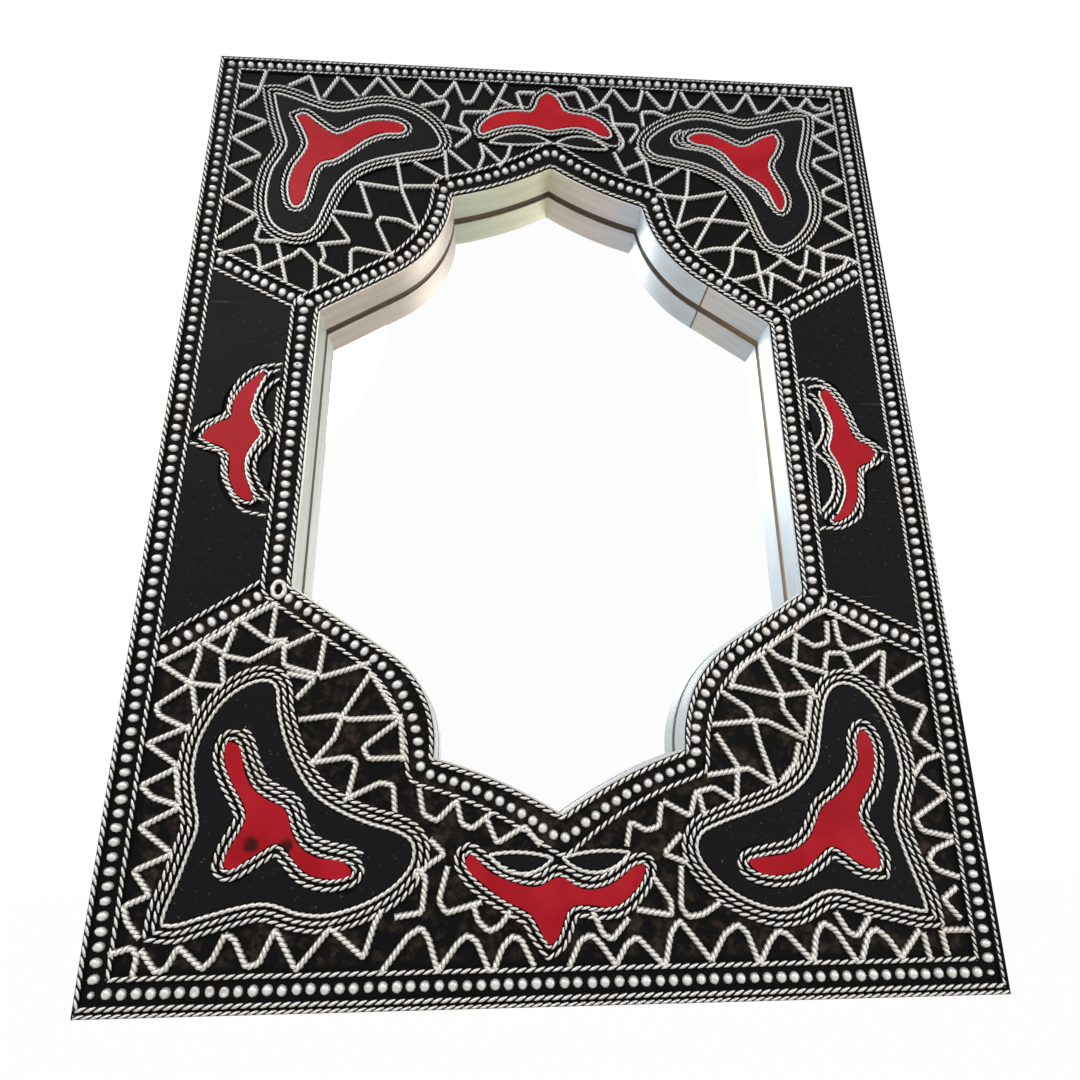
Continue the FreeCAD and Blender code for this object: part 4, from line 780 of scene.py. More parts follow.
inlayLines = {
    "top_left": [
        (-89.6, 128.2), (-87.2, 129), (-83.2, 125.7), (-78.5, 121.9), (-75, 120.4), (-71.3, 122.2),
        (-67, 125.6), (-61, 127.6), (-55, 127.3), (-51.6, 125.2), (-53, 123.2), (-59, 122.5), (-65, 119.4),
        (-70.5, 114.2), (-75.5, 110), (-80, 108.3), (-82.7, 104), (-83.9, 97), (-85, 91.2), (-87.2, 89.2),
        (-89, 92.5), (-89.8, 98.5), (-88.6, 105.5), (-85.8, 111.3), (-84.6, 116), (-86.3, 121.5)],
    "top_right": [
        (85.4, 129), (86.3, 126.3), (84.6, 121.5), (82.3, 117.6), (81.6, 113.5), (83.4, 108.2), (85.6, 103),
        (86.1, 98.5), (84.6, 95.4), (82.9, 98.5), (81, 104), (77, 108.2), (72.5, 111), (69.3, 115.3),
        (66, 120), (61, 123.2), (56, 124.1), (53.4, 126), (56.2, 128), (61.5, 128), (66.5, 125.6),
        (71.5, 122.9), (75.5, 123.5), (80.5, 127)],
    "bottom_left": [
        (-87, -121.6), (-86.2, -117.8), (-83.6, -113), (-82.5, -109.3), (-84.6, -104.8), (-87.6, -100),
        (-89.8, -94.6), (-89.2, -90.3), (-87, -91), (-84.8, -96.3), (-81.4, -102.6), (-76.5, -105.8),
        (-72.6, -108), (-70.8, -112.5), (-67.6, -117.4), (-62, -120.2), (-55.5, -121.7), (-54.2, -123.8),
        (-60, -125), (-66, -123.4), (-70.2, -119.2), (-73.8, -116.2), (-78, -118.1), (-82.5, -120.8),
        (-85.8, -122.3)],
    "bottom_right": [
        (88.4, -124.4), (88.7, -121.2), (86.2, -116.2), (84.3, -111.5), (85.6, -107.3), (88.8, -103),
        (90.7, -97.5), (90.9, -91.5), (88.8, -88), (86.8, -91), (86.6, -96), (83.6, -101.3), (78.8, -105.8),
        (74.4, -109), (72.2, -112.8), (69.6, -116.8), (64.5, -120), (57.5, -121.3), (52.3, -122.6),
        (54.2, -124.7), (60, -125.8), (66.5, -124.6), (71.5, -121.5), (75.5, -118.8), (79.5, -120.7),
        (84, -124)],
    "top": [
        (0.5, 144.2), (2.8, 143), (4.6, 140.2), (6.2, 136.6), (9.5, 134.9), (15, 134.2), (19.5, 132),
        (22.6, 128.4), (23, 125.6), (20, 125.8), (15.8, 128.4), (10.8, 129.3), (5.5, 128.3), (1, 127.4),
        (-3.5, 128.6), (-9.5, 129.3), (-15.5, 128.2), (-20.3, 126.1), (-23.3, 124.6), (-23.5, 127.3),
        (-20.8, 131), (-16, 133.9), (-10, 134.8), (-5.5, 134.9), (-3.4, 137.5), (-2, 141.8)],
    "bottom": [
        (-2.1, -141.6), (-0.2, -140.2), (1.3, -137), (2.8, -133.6), (6, -132.3), (11.5, -132.9),
        (16.5, -132.2), (20.5, -129.2), (23.2, -125.5), (23.4, -123), (20.5, -123.5), (16, -126.7),
        (10.5, -128.6), (5.5, -128.1), (0.4, -125.6), (-4, -127.5), (-9.5, -127.3), (-15, -125.5),
        (-20, -122.2), (-23.4, -119.8), (-24.2, -121.6), (-21.5, -125.4), (-16.5, -129.2), (-11, -132.3),
        (-6.8, -134.7), (-4.6, -138.4)],
    "left": [
        (-107.5, 0.8), (-106, 3.7), (-102.5, 6.1), (-99.5, 8), (-99.6, 11.5), (-97.8, 16.5), (-94.8, 20.8),
        (-91.2, 23.6), (-91.6, 21), (-93.1, 16), (-94.2, 10.3), (-92.6, 6.3), (-90.4, 2.5), (-92.2, -1.2),
        (-94, -6), (-93.4, -11.5), (-91.4, -16.2), (-90.6, -19.7), (-93.4, -19.2), (-96.4, -15.8),
        (-98.3, -10.5), (-98.5, -5.5), (-100.2, -3), (-104, -1.3)],
    "right": [
        (105.2, -0.4), (103.6, 2.1), (100.3, 3.8), (98.4, 7.5), (97, 13), (94.8, 18.2), (91.7, 22.2),
        (90.1, 20.5), (91.6, 15.5), (92.9, 10), (92.2, 5.2), (90.9, 0.8), (92.8, -3.8), (94.3, -9.5),
        (94, -15), (91.5, -20.5), (88.8, -24), (91.8, -23.2), (95.3, -20.2), (97.4, -15.5), (98.1, -9.5),
        (99.3, -5.4), (103, -3.6)],
}
ropeSteps = {
    "medallion": [("rope", 0.0), ("rope", 1.8), ("soft", 3.6)],
    "inlay": [("close", -0.75), ("rope", -2.6)],
    "fineMedallion": [("tight", 0.0), ("tight", 1.8), ("soft", 3.6)],
    "fineInlay": [("soft", -0.75), ("tight", -2.5)],
    "sides": [("tight", -0.8), ("hair", -0.5)],
}
ropeBend = 0.9  # the length over which these wires turn a corner
almondEnds = {
    "top": [[(-18.8, 120.8), (-0.4, 121.6)], [(5.4, 121.6), (21.0, 120.0)]],
    "bottom": [[(-16.6, -120.4), (-2.6, -121.2)], [(3.2, -121.2), (18.2, -120.3)]],
}

# Wires laid by themselves: those that run from the side inlays into the opening's wire, and an extra turn
freeWires = {
    "left": [
        ("rope", [(-85.6, 26.8), (-88.5, 26.4), (-91.5, 25.9), (-94.3, 24.7), (-96.6, 22.9), (-98.2, 20.9),
            (-99.4, 18.7), (-100.2, 16.4), (-100.7, 14), (-100.8, 11.8), (-101.1, 9.6), (-102.5, 8),
            (-105, 6.7), (-107.5, 5.6), (-109, 4.3), (-110.6, 2.8)]),
        ("rope", [(-110.9, -1), (-109.3, -1.6), (-106.8, -2.8), (-103.8, -3.3), (-101.6, -4.3),
            (-100.5, -6.5), (-100.3, -9), (-100, -11.5), (-99, -14), (-97.6, -16.4), (-96.3, -18.6),
            (-94.8, -20.9), (-93.5, -22.6), (-91.3, -23.6), (-88.5, -24.1), (-85.8, -24.8)]),
        ("rope", [(-86.2, 24.6), (-88.6, 24), (-90.2, 22.4), (-91.5, 19.6), (-92.5, 16.8), (-93, 14.4),
            (-92.9, 11.8), (-92.2, 9), (-91, 6.4), (-89.7, 3.9), (-88.9, 2.2), (-89.3, 0.4), (-90.7, -1.6),
            (-92, -3.8), (-92.8, -6.4), (-92.9, -9.2), (-92.2, -11.8), (-91.2, -14.2), (-90.2, -16.6),
            (-88.8, -18.6), (-86.9, -20.1)]),
    ],
    "right": [
        ("rope", [(82.9, 25.6), (86.5, 26.2), (89, 26.2), (91, 25.4), (93.2, 23.8), (95.2, 21.8),
            (96.6, 19.6), (97.7, 17.4), (98.6, 15), (99.4, 12.5), (100, 10), (100.7, 7.8), (101.4, 6),
            (103.2, 4.4), (105, 3.2), (106.7, 2), (107.9, 0.6), (109.8, -0.5)]),
        ("rope", [(108.6, -1.2), (107.3, -2.6), (105.6, -4.1), (103.2, -5.3), (101.2, -6.6), (100.1, -8.4),
            (99.8, -10.5), (99.6, -13), (99.4, -15.5), (98.8, -18), (98.2, -20.5), (97.3, -22.4),
            (95.5, -23.9), (93.3, -25.2), (91, -26.2), (88.5, -26.5), (86, -26.3), (83.6, -26.8)]),
        ("rope", [(86.3, 21), (88.4, 18.6), (89.8, 15.8), (90.8, 13.2), (91.4, 10.6), (91.3, 8), (90.7, 5.4),
            (89.6, 3), (88.6, 0.8), (89.2, -1.2), (90.6, -3.4), (91.7, -5.8), (92.3, -8.4), (92.3, -11),
            (91.9, -13.4), (91.2, -15.8), (90.2, -18), (88.7, -19.8), (87, -21.4), (85.6, -23.2)]),
        ("soft", [(86, 22.8), (88.2, 23.6), (90.5, 23.6), (92.4, 23)]),
    ],
    "top_right": [
        ("soft", [(50.5, 129.8), (47.6, 128), (46.3, 125), (47.4, 122.3), (50, 121.3), (54, 120.9),
            (58, 120.2), (61.5, 118.5), (64.5, 115.9), (66.5, 113), (68.5, 110.4), (71.5, 107.9),
            (74.5, 105.5), (77, 102.8), (79, 99.8), (80.2, 96.6)]),
        ("tight", [(53, 129.2), (51.3, 127.8), (50.6, 125.8), (50.9, 124.2), (52.3, 123), (53.7, 122.6)]),
    ],
}
almondWires = {
    "left": [
        ("rope", [(-85.8, 21.4), (-87.6, 20.4), (-89.3, 18.6), (-90.5, 16.6), (-91.1, 14.4), (-91.2, 12.2),
            (-90.6, 9.8), (-89.4, 7.8), (-88.1, 5.8), (-87.1, 3.8), (-86.8, 1.6), (-87.6, -0.4), (-89, -2.4),
            (-90.2, -4.6), (-90.8, -7), (-90.8, -9.4), (-90.1, -11.8), (-89, -14), (-87.7, -16.2),
            (-86.2, -18.2), (-85.6, -19.6)]),
        ("tight", [(-86, 18.6), (-86.2, 14), (-86, 10), (-85.7, 6), (-85.7, 3)]),
    ],
    "right": [
        ("soft", [(84.6, 18.9), (86.4, 17.6), (87.8, 15.8), (88.7, 13.6), (89.3, 11), (89.4, 8.4), (88.9, 6),
            (87.9, 3.8), (86.6, 2), (85.6, 0.8)]),
        ("soft", [(85.8, -0.8), (87.2, -2.2), (88.8, -3.8), (89.9, -5.8), (90.4, -8), (90.5, -10.4),
            (90.2, -13), (89.4, -15.4), (88.1, -17.6), (86.4, -19.5), (85.4, -20.8)]),
        ("tight", [(84.6, 24.2), (84.5, 19.5), (84.5, 15), (84.6, 11)]),
        ("tight", [(84.7, 6.6), (84.8, 4.4), (85.2, 2), (85.3, -0.5), (85, -3.2), (84.7, -6), (84.6, -10),
            (84.6, -14), (84.6, -18), (84.6, -22)]),
    ],
}
# Points of an inlay's line that a wire follows: a third row, and the wires on the side inlays' outer side
thirdRow = {"bottom_left": [("rope", -4.2, range(8, 17))]}
sideLook = {"left": [*range(17, 24), *range(8)], "right": [*range(16, 23), *range(7)]}
# Where the outer wire runs past the end of its inlay
wireNoses = {"top": {8: (24.6, 123.4)}, "top_right": {17: (51.0, 125.7)}}
almondLook = {"bulge": 3.0, "belly": 0.7, "ropeStep": -0.8, "bend": 0.8}


def outlineOf(points):
    return ccw(smoothLine(points + points[:1])[:-1])


def ropesRound(line, steps, seed):
    ropes = []
    for kind, step in steps:
        path = beside(line, step) if step else line
        ropes.append(layRope(kind, rounded(waver(path, wavers["row"], seed), ropeBend), True))
    return ropes


def laidWires(wires, seed):
    return [layRope(kind, waver(smoothLine(points), wavers["fine"], seed)) for kind, points in wires]


def nearestOf(points, spot):
    return min(range(len(points)), key=lambda k: (Vector(points[k]) - spot).length)


def runBeside(name, step, kept):
    # the part of an offset line that follows some of the inlay's points
    points = inlayLines[name]
    run = [spot for spot in beside(outlineOf(points), step) if nearestOf(points, spot) in kept]
    start = max(range(len(run)), key=lambda k: (run[k] - run[k - 1]).length)
    return run[start:] + run[:start]


def outerLineOf(name):
    points = list(inlayLines[name])
    for place, spot in wireNoses.get(name, {}).items():
        points[place] = spot
    return outlineOf(points)


def almondLine(points):
    first, last = [Vector(p) for p in points]
    middle = (first + last) / 2
    outward = Vector((last.y - first.y, first.x - last.x)).normalized()
    if outward.dot(middle) < 0:
        outward = -outward
    bulge, belly = middle + outward * almondLook["bulge"], middle - outward * almondLook["belly"]
    return ccw(arcThrough(first, bulge, last)[:-1] + arcThrough(last, belly, first)[:-1])


for number, quarter in enumerate(quarters):
    upper = quarters[quarter][1] > 0  # the upper medallions have more tightly twisted wire
    steps = ropeSteps["fineMedallion" if upper else "medallion"]
    ropes = ropesRound(outlineOf(medallionLines[quarter]), steps, seeds["medallion"] + number)
    steps = ropeSteps["fineInlay" if upper else "inlay"]
    ropes += ropesRound(outlineOf(inlayLines[quarter]), steps[:1], seeds["inlay"] + number)
    ropes += ropesRound(outerLineOf(quarter), steps[1:], seeds["inlayOuter"] + number)
    ropes += laidWires(freeWires.get(quarter, []), seeds["free"] + number)
    for kind, step, kept in thirdRow.get(quarter, []):
        line = runBeside(quarter, step, kept)
        ropes.append(layRope(kind, waver(line, wavers["fine"], seeds["thirdRow"] + number)))
    ropePiece("rope_medallion_" + quarter, ropes, "rope", "medallion_wires_" + quarter)

almondRopes = []
for number, side in enumerate(("top", "bottom", "left", "right")):
    steps = ropeSteps["fineInlay" if side == "top" else "inlay"]
    if side in freeWires:
        # away from the opening the wire at the inlay is twisted, towards it there is only a hair of wire
        ropes = laidWires(freeWires[side], seeds["sideOuter"] + number)
        near = [k for k in range(len(inlayLines[side])) if k not in sideLook[side]]
        for (kind, step), kept in zip(ropeSteps["sides"], (sideLook[side], near)):
            line = runBeside(side, step, kept)
            ropes.append(layRope(kind, waver(line, wavers["fine"], seeds["side"] + number)))
    else:
        ropes = ropesRound(outlineOf(inlayLines[side]), steps[:1], seeds["side"] + number)
        ropes += ropesRound(outerLineOf(side), steps[1:], seeds["sideOuter"] + number)
    ropePiece("rope_inlay_" + side, ropes, "rope", "inlay_wires_" + side)
    almondRopes += laidWires(almondWires.get(side, []), seeds["almond"] + number)
    for points in almondEnds.get(side, []):
        line = rounded(beside(almondLine(points), almondLook["ropeStep"]), almondLook["bend"])
        almondRopes.append(layRope("soft", line, True))
ropePiece("rope_almonds", almondRopes, "rope", "almond_wires")

# Filigree: flat zigzag wires, on a grid counted from the top left corner of the front
filigreeGrid = {
    "columns": 1000, "rows": 1240, "left": 0.4, "right": 0.5, "top": 0.9, "bottom": 0.2,
    "bend": 0.8, "sharp": 0.1,
}
filigreeWires = {
    "top_left": [
        [(70, 25), (64, 58), (60, 72), (38, 95)], [(30, 52), (62, 58)],
        [(34, 103), (80, 119), (34, 151), (78, 179), (34, 203), (70, 228), (34, 257), (82, 281), (34, 322)],
        [(90, 298), (85, 320), (92, 324), (125, 322)], [(38, 348), (85, 331), (92, 343), (97, 372)],
        [(98, 368), (140, 345), (150, 334), (172, 356), (175, 398)], [(117, 328), (125, 355), (134, 388)],
        [(178, 328), (184, 345), (178, 357), (215, 377)], [(190, 280), (217, 319), (172, 326)],
        [(276, 175), (287, 232), (313, 295)], [(220, 220), (282, 228)], [(288, 223), (340, 221)],
        [(226, 222), (245, 277), (192, 271)], [(312, 296), (285, 281), (258, 278), (253, 288), (278, 342)],
        [(222, 372), (219, 335), (228, 330), (278, 340)], [(303, 181), (345, 206)], [(347, 158), (352, 208)],
        [(354, 158), (388, 190)], [(106, 51), (137, 31), (156, 78)], [(160, 70), (180, 30)],
        [(186, 32), (213, 66)], [(218, 64), (240, 28), (268, 63)],
        [(255, 26), (282, 60), (290, 60), (306, 28)], [(306, 30), (333, 60), (342, 58), (359, 28)],
        [(359, 30), (373, 67), (386, 65), (401, 28)], [(308, 77), (345, 65), (350, 75), (342, 100)],
        [(412, 83), (372, 85), (369, 104), (382, 120)], [(346, 112), (385, 122), (382, 130), (362, 150)],
        [(404, 28), (418, 48)], [(438, 28), (425, 60), (411, 88)], [(425, 58), (448, 70)],
        [(455, 44), (464, 76)], [(456, 43), (484, 42)], [(400, 142), (405, 165), (397, 188)],
        [(404, 146), (430, 174)], [(446, 143), (440, 165), (428, 182)],
    ],
    "top_right": [
        [(517, 46), (548, 38), (561, 75)], [(552, 26), (568, 32), (581, 56)],
        [(606, 28), (585, 60), (566, 72)], [(588, 59), (600, 61), (605, 98)],
        [(605, 95), (640, 95), (643, 105), (629, 127)],
        [(605, 98), (612, 111), (619, 126), (618, 135), (610, 144)], [(604, 148), (615, 175), (621, 188)],
        [(652, 97), (650, 70), (670, 68), (690, 77)], [(608, 30), (632, 66), (645, 63), (654, 28)],
        [(660, 30), (683, 62), (695, 60), (708, 26)], [(716, 28), (727, 55), (737, 58), (763, 26)],
        [(767, 26), (788, 62), (800, 58), (821, 26)], [(823, 26), (836, 62), (852, 57), (878, 27)],
        [(880, 28), (893, 50), (905, 48), (921, 27)], [(922, 29), (930, 46), (945, 48), (955, 38)],
        [(898, 48), (920, 58), (932, 68), (958, 82)], [(925, 63), (960, 51)],
        [(959, 84), (921, 103), (957, 132), (918, 145), (915, 155), (957, 185), (924, 201), (924, 213),
         (959, 231), (921, 251)], [(921, 251), (959, 279), (913, 301), (900, 310)],
        [(886, 300), (905, 312), (945, 318), (960, 326)], [(911, 310), (905, 348)],
        [(946, 318), (940, 331), (903, 351)], [(615, 180), (650, 161)], [(638, 138), (652, 165), (658, 208)],
        [(663, 203), (702, 173)], [(717, 175), (712, 215), (692, 278)], [(665, 221), (712, 225), (772, 211)],
        [(772, 218), (748, 255), (716, 312)], [(690, 277), (725, 260), (760, 262), (802, 267)],
        [(800, 276), (775, 305), (770, 335), (757, 360)], [(716, 319), (745, 310), (775, 308), (808, 315)],
        [(807, 315), (810, 350), (815, 388)], [(768, 363), (805, 352), (820, 345), (845, 326)],
        [(820, 347), (840, 355), (870, 374)], [(829, 348), (821, 392)], [(868, 360), (878, 340), (900, 349)],
        [(840, 317), (868, 338), (880, 335), (886, 308)],
    ],
    "bottom_right": [
        [(803, 852), (822, 838), (845, 828), (862, 836), (907, 860)],
        [(802, 858), (825, 872), (843, 867), (845, 842)], [(855, 840), (858, 868), (867, 876), (912, 864)],
        [(763, 872), (778, 885), (800, 893), (838, 904)], [(804, 857), (797, 894)],
        [(764, 876), (780, 865), (802, 853)], [(835, 899), (840, 880), (862, 880), (872, 903)],
        [(873, 902), (907, 879), (913, 879), (904, 921)],
        [(960, 891), (912, 917), (918, 930), (956, 944), (935, 975), (958, 992)],
        [(963, 997), (942, 1003), (928, 1019)],
        [(936, 1020), (963, 1041), (921, 1065), (928, 1078), (963, 1085)],
        [(963, 1089), (938, 1098), (930, 1108), (938, 1118), (963, 1126)],
        [(958, 1136), (940, 1148), (957, 1167)], [(932, 1178), (965, 1178)], [(907, 1177), (883, 1202)],
        [(911, 1180), (915, 1206)], [(932, 1178), (936, 1202)],
        [(617, 1206), (625, 1175), (635, 1163), (650, 1180), (668, 1202)],
        [(668, 1202), (685, 1177), (700, 1168), (710, 1176), (721, 1206)],
        [(722, 1206), (735, 1185), (745, 1175), (755, 1178), (780, 1204)],
        [(782, 1205), (788, 1180), (797, 1168), (810, 1175), (831, 1206)],
        [(837, 1204), (848, 1180), (857, 1175), (870, 1185), (883, 1205)],
        [(813, 1158), (825, 1178), (835, 1182), (852, 1163)],
        [(641, 1110), (638, 1150), (645, 1160), (662, 1158), (682, 1147)],
        [(608, 1120), (627, 1145), (627, 1158), (588, 1152)], [(643, 1078), (622, 1098), (648, 1107)],
        [(622, 1045), (618, 1070), (603, 1074), (585, 1065), (580, 1090)],
        [(624, 1044), (655, 1060), (663, 1035), (685, 1030), (708, 1044)], [(667, 1037), (672, 1060)],
        [(678, 1017), (715, 1012), (728, 1010), (760, 1030)], [(715, 1012), (711, 1043)],
        [(692, 972), (718, 1012)], [(688, 962), (740, 958), (755, 958), (802, 980)],
        [(702, 924), (735, 945), (740, 960), (745, 985), (759, 1029)], [(716, 918), (775, 930), (818, 924)],
        [(756, 883), (777, 925), (777, 945), (800, 974)], [(714, 922), (722, 905), (740, 890), (762, 879)],
        [(794, 898), (820, 933)], [(813, 930), (804, 972)], [(792, 983), (785, 1005), (766, 1024)],
        [(512, 1204), (525, 1180), (537, 1175), (548, 1185), (563, 1204), (575, 1185), (587, 1178),
         (600, 1190), (616, 1206)], [(539, 1153), (550, 1175), (560, 1180), (579, 1160)],
    ],
    "bottom_left": [
        [(125, 845), (150, 831), (165, 823), (162, 866)], [(127, 846), (160, 868), (182, 866)],
        [(83, 871), (110, 855), (128, 840)], [(85, 870), (110, 882), (119, 853)], [(178, 876), (213, 859)],
        [(178, 868), (180, 895), (220, 906)], [(226, 862), (221, 908)], [(108, 884), (140, 890), (182, 866)],
        [(107, 886), (113, 915)], [(36, 894), (80, 870), (82, 885), (74, 917)],
        [(38, 893), (75, 915), (112, 919)], [(78, 914), (40, 940), (45, 950), (83, 966)],
        [(78, 918), (86, 948)], [(82, 961), (36, 980), (75, 1004), (36, 1023), (50, 1035), (82, 1044)],
        [(72, 1006), (79, 1038)],
        [(82, 1045), (41, 1065), (80, 1091), (41, 1107), (62, 1130), (36, 1140), (42, 1155), (57, 1170)],
        [(28, 1184), (50, 1178), (57, 1185), (55, 1204)],
        [(60, 1180), (78, 1201), (88, 1198), (98, 1178), (125, 1199), (135, 1190), (145, 1168)],
        [(145, 1168), (155, 1172), (170, 1198), (183, 1195), (197, 1164), (222, 1202), (255, 1164),
         (292, 1192), (302, 1160), (309, 1148)],
        [(311, 1206), (338, 1173), (352, 1165), (360, 1175), (371, 1206)],
        [(371, 1206), (392, 1180), (402, 1173), (412, 1179), (426, 1207)],
        [(431, 1206), (440, 1185), (450, 1175), (460, 1178), (474, 1203)],
        [(407, 1142), (413, 1160), (425, 1170), (437, 1165), (449, 1151)],
        [(379, 1107), (370, 1140), (378, 1152), (417, 1142)],
        [(358, 1080), (375, 1095), (358, 1105), (343, 1117)],
        [(345, 1108), (355, 1118), (352, 1151), (323, 1155)],
        [(344, 1028), (350, 1055), (365, 1062), (387, 1041), (393, 1065), (405, 1070), (427, 1054)],
        [(421, 1060), (433, 1085), (464, 1068), (482, 1088)],
        [(260, 1040), (300, 1022), (315, 1025), (318, 1053)],
        [(220, 1001), (262, 995), (272, 1000), (264, 1038)],
        [(327, 996), (285, 997), (278, 985), (322, 953)], [(203, 955), (245, 950), (260, 955), (322, 952)],
        [(283, 902), (253, 950), (245, 975), (220, 1003)], [(284, 906), (320, 957), (325, 1000)],
        [(223, 909), (281, 892)], [(185, 904), (218, 910), (198, 932)],
    ],
}


def onGrid(column, row):
    wide = front["width"] - filigreeGrid["left"] - filigreeGrid["right"]
    tall = front["height"] - filigreeGrid["top"] - filigreeGrid["bottom"]
    return Vector((filigreeGrid["left"] - halfWidth + wide * column / filigreeGrid["columns"],
                   halfHeight - filigreeGrid["top"] - tall * row / filigreeGrid["rows"]))


for quarter, runs in filigreeWires.items():
    wires = []
    for run in runs:
        line = rounded([onGrid(*spot) for spot in run], filigreeGrid["bend"], False, filigreeGrid["sharp"])
        wires.append(layRope("thin" if "top" in quarter else "filigree", line))
    ropePiece("filigree_wire_" + quarter, wires, "fine", "filigree_" + quarter)

# Beads: a few hand-made shapes, each copied many times, with some pierced or filed flat
beadLook = {
    "radius": 1.43, "height": 1.32, "pitch": 3.42, "widePitch": 3.53, "shapes": 7, "segments": 10, "rings": 8,
    "uneven": 0.10, "evenBelow": 0.1, "crown": 0.72, "crownSpread": 1.12, "flat": 0.9, "filedFlat": 0.55,
    "holeRim": 0.22, "holeDepth": 0.5, "holeReach": 0.5, "holeBelow": 0.8, "foot": 0.02, "darkBelow": 0.5,
    "filed": 0.6, "filedGrime": 0.68,
    "smallest": 0.92, "small": 0.6, "shift": 0.12, "turn": 0.2, "sizes": (0.95, 1.04), "heights": (0.9, 1.0),
    "spotReach": 1.75, "curlRoom": 3.0,
}
# sizes along the row and across it
beadForms = {"round": (0.96, 1.0), "even": (0.90, 1.0), "oval": (0.86, 1.14), "slim": (0.74, 1.02)}
piercedSpots = [(95.0, 61.7), (113.9, -58.2), (84.3, -50.3), (-80.6, 26.9), (-9.5, -107.5), (113.5, 43.0)]
smallSpots = [(-115.8, -150.6), (115.2, -150.6)]
filedSpots = [(-92.4, -150.6), (-89.0, -150.6), (-85.3, -150.6), (-97.6, 59.0)]


def modelBead(name, kind="round"):
    deselectAll()
    bpy.ops.mesh.primitive_uv_sphere_add(segments=beadLook["segments"], ring_count=beadLook["rings"],
                                         radius=beadLook["radius"])
    bead = bpy.context.object
    bead.name = name
    bpy.ops.object.mode_set(mode="EDIT")
    bpy.ops.mesh.select_all(action="SELECT")
    bpy.ops.mesh.bisect(plane_co=(0, 0, -beadLook["foot"]), plane_no=(0, 0, 1), use_fill=True,
                        clear_inner=True)
    bpy.ops.object.mode_set(mode="OBJECT")
    top = beadLook["radius"] * beadLook["crown"]
    selectPoints(bead, lambda co: co.z > top)  # the rubbed, flattened crown
    spread, flat = beadLook["crownSpread"], beadLook["filedFlat" if kind == "filed" else "flat"]
    bpy.ops.transform.resize(value=(spread, spread, flat), center_override=(0, 0, 0))
    if kind == "pierced":
        bpy.ops.mesh.select_mode(type="FACE")
        bpy.ops.mesh.inset(thickness=beadLook["holeRim"], depth=0.0)
        bpy.ops.mesh.extrude_region_move(TRANSFORM_OT_translate={"value": (0, 0, -beadLook["holeDepth"])})
    bpy.ops.object.mode_set(mode="OBJECT")
    for vert in bead.data.vertices:
        if vert.co.z > beadLook["evenBelow"]:
            vert.co += Vector([random.uniform(-1, 1) * beadLook["uneven"] for axis in range(3)])
    peak = max(vert.co.z for vert in bead.data.vertices)
    height = beadLook["height"] * (beadLook["filed"] if kind == "filed" else 1.0)
    bead.data.transform(Matrix.Scale(height / peak, 4, (0, 0, 1)))
    bpy.ops.object.shade_smooth()
    # the bead is darker towards its foot and black inside its hole
    groove = bead.data.attributes.new("groove", "FLOAT", "POINT")
    for vert, value in zip(bead.data.vertices, groove.data):
        out = math.hypot(vert.co.x, vert.co.y) / beadLook["radius"]
        up = vert.co.z / beadLook["height"]
        pit = kind == "pierced" and out < beadLook["holeReach"] and up < beadLook["holeBelow"]
        value.value = 1.0 if pit else max(0.0, 1 - up / beadLook["darkBelow"])
        if kind == "filed":
            value.value = max(value.value, beadLook["filedGrime"])
    return bead


beads = [modelBead("bead_%d" % k) for k in range(beadLook["shapes"])]
piercedBead = modelBead("bead_pierced", "pierced")
filedBead = modelBead("bead_filed", "filed")


def nearAny(spot, places, reach=beadLook["spotReach"]):
    return any((spot - Vector(place)).length < reach for place in places)


def rowOf(path, pitch, form, closed=False):
    # places along a row, each with the way the row runs there and the form of its bead
    spots = evenly(path, pitch, closed)
    after = spots[1:] + spots[:1] if closed else spots[1:] + [spots[-1] * 2 - spots[-2]]
    return [(spot, (ahead - spot).normalized(), form) for spot, ahead in zip(spots, after)]


def beadPiece(name, row, node):
    copies = []
    for spot, along, form in row:
        if nearAny(spot, [curl["centre"]], beadLook["curlRoom"]):
            continue
        master = random.choice(beads)
        if nearAny(spot, piercedSpots):
            master = piercedBead
        elif nearAny(spot, filedSpots):
            master = filedBead
        copy = master.copy()
        copy.data = master.data.copy()
        size = random.uniform(beadLook["smallest"], 1.0)
        if nearAny(spot, smallSpots):
            size *= beadLook["small"]
        shift = Vector((random.uniform(-1, 1), random.uniform(-1, 1), 0)) * beadLook["shift"]
        heading = math.atan2(along.y, along.x) + random.uniform(-beadLook["turn"], beadLook["turn"])
        long, wide = [side * size * random.uniform(*beadLook["sizes"]) for side in beadForms[form]]
        shape = Matrix.Diagonal((long, wide, random.uniform(*beadLook["heights"]), 1))
        shape = shape @ Matrix.Rotation(random.choice((0, math.pi / 2, math.pi, -math.pi / 2)), 4, "Z")
        turn = Matrix.Rotation(heading, 4, "Z")
        copy.data.transform(Matrix.Translation(spot.to_3d() + shift) @ turn @ shape)
        bpy.context.collection.objects.link(copy)
        copies.append(copy)
    piece = standOnFront(joinAll(copies, name))
    dress(piece, "frame", "silver_bead", finishes["bead"], node)
    print(name, len(row), "beads")


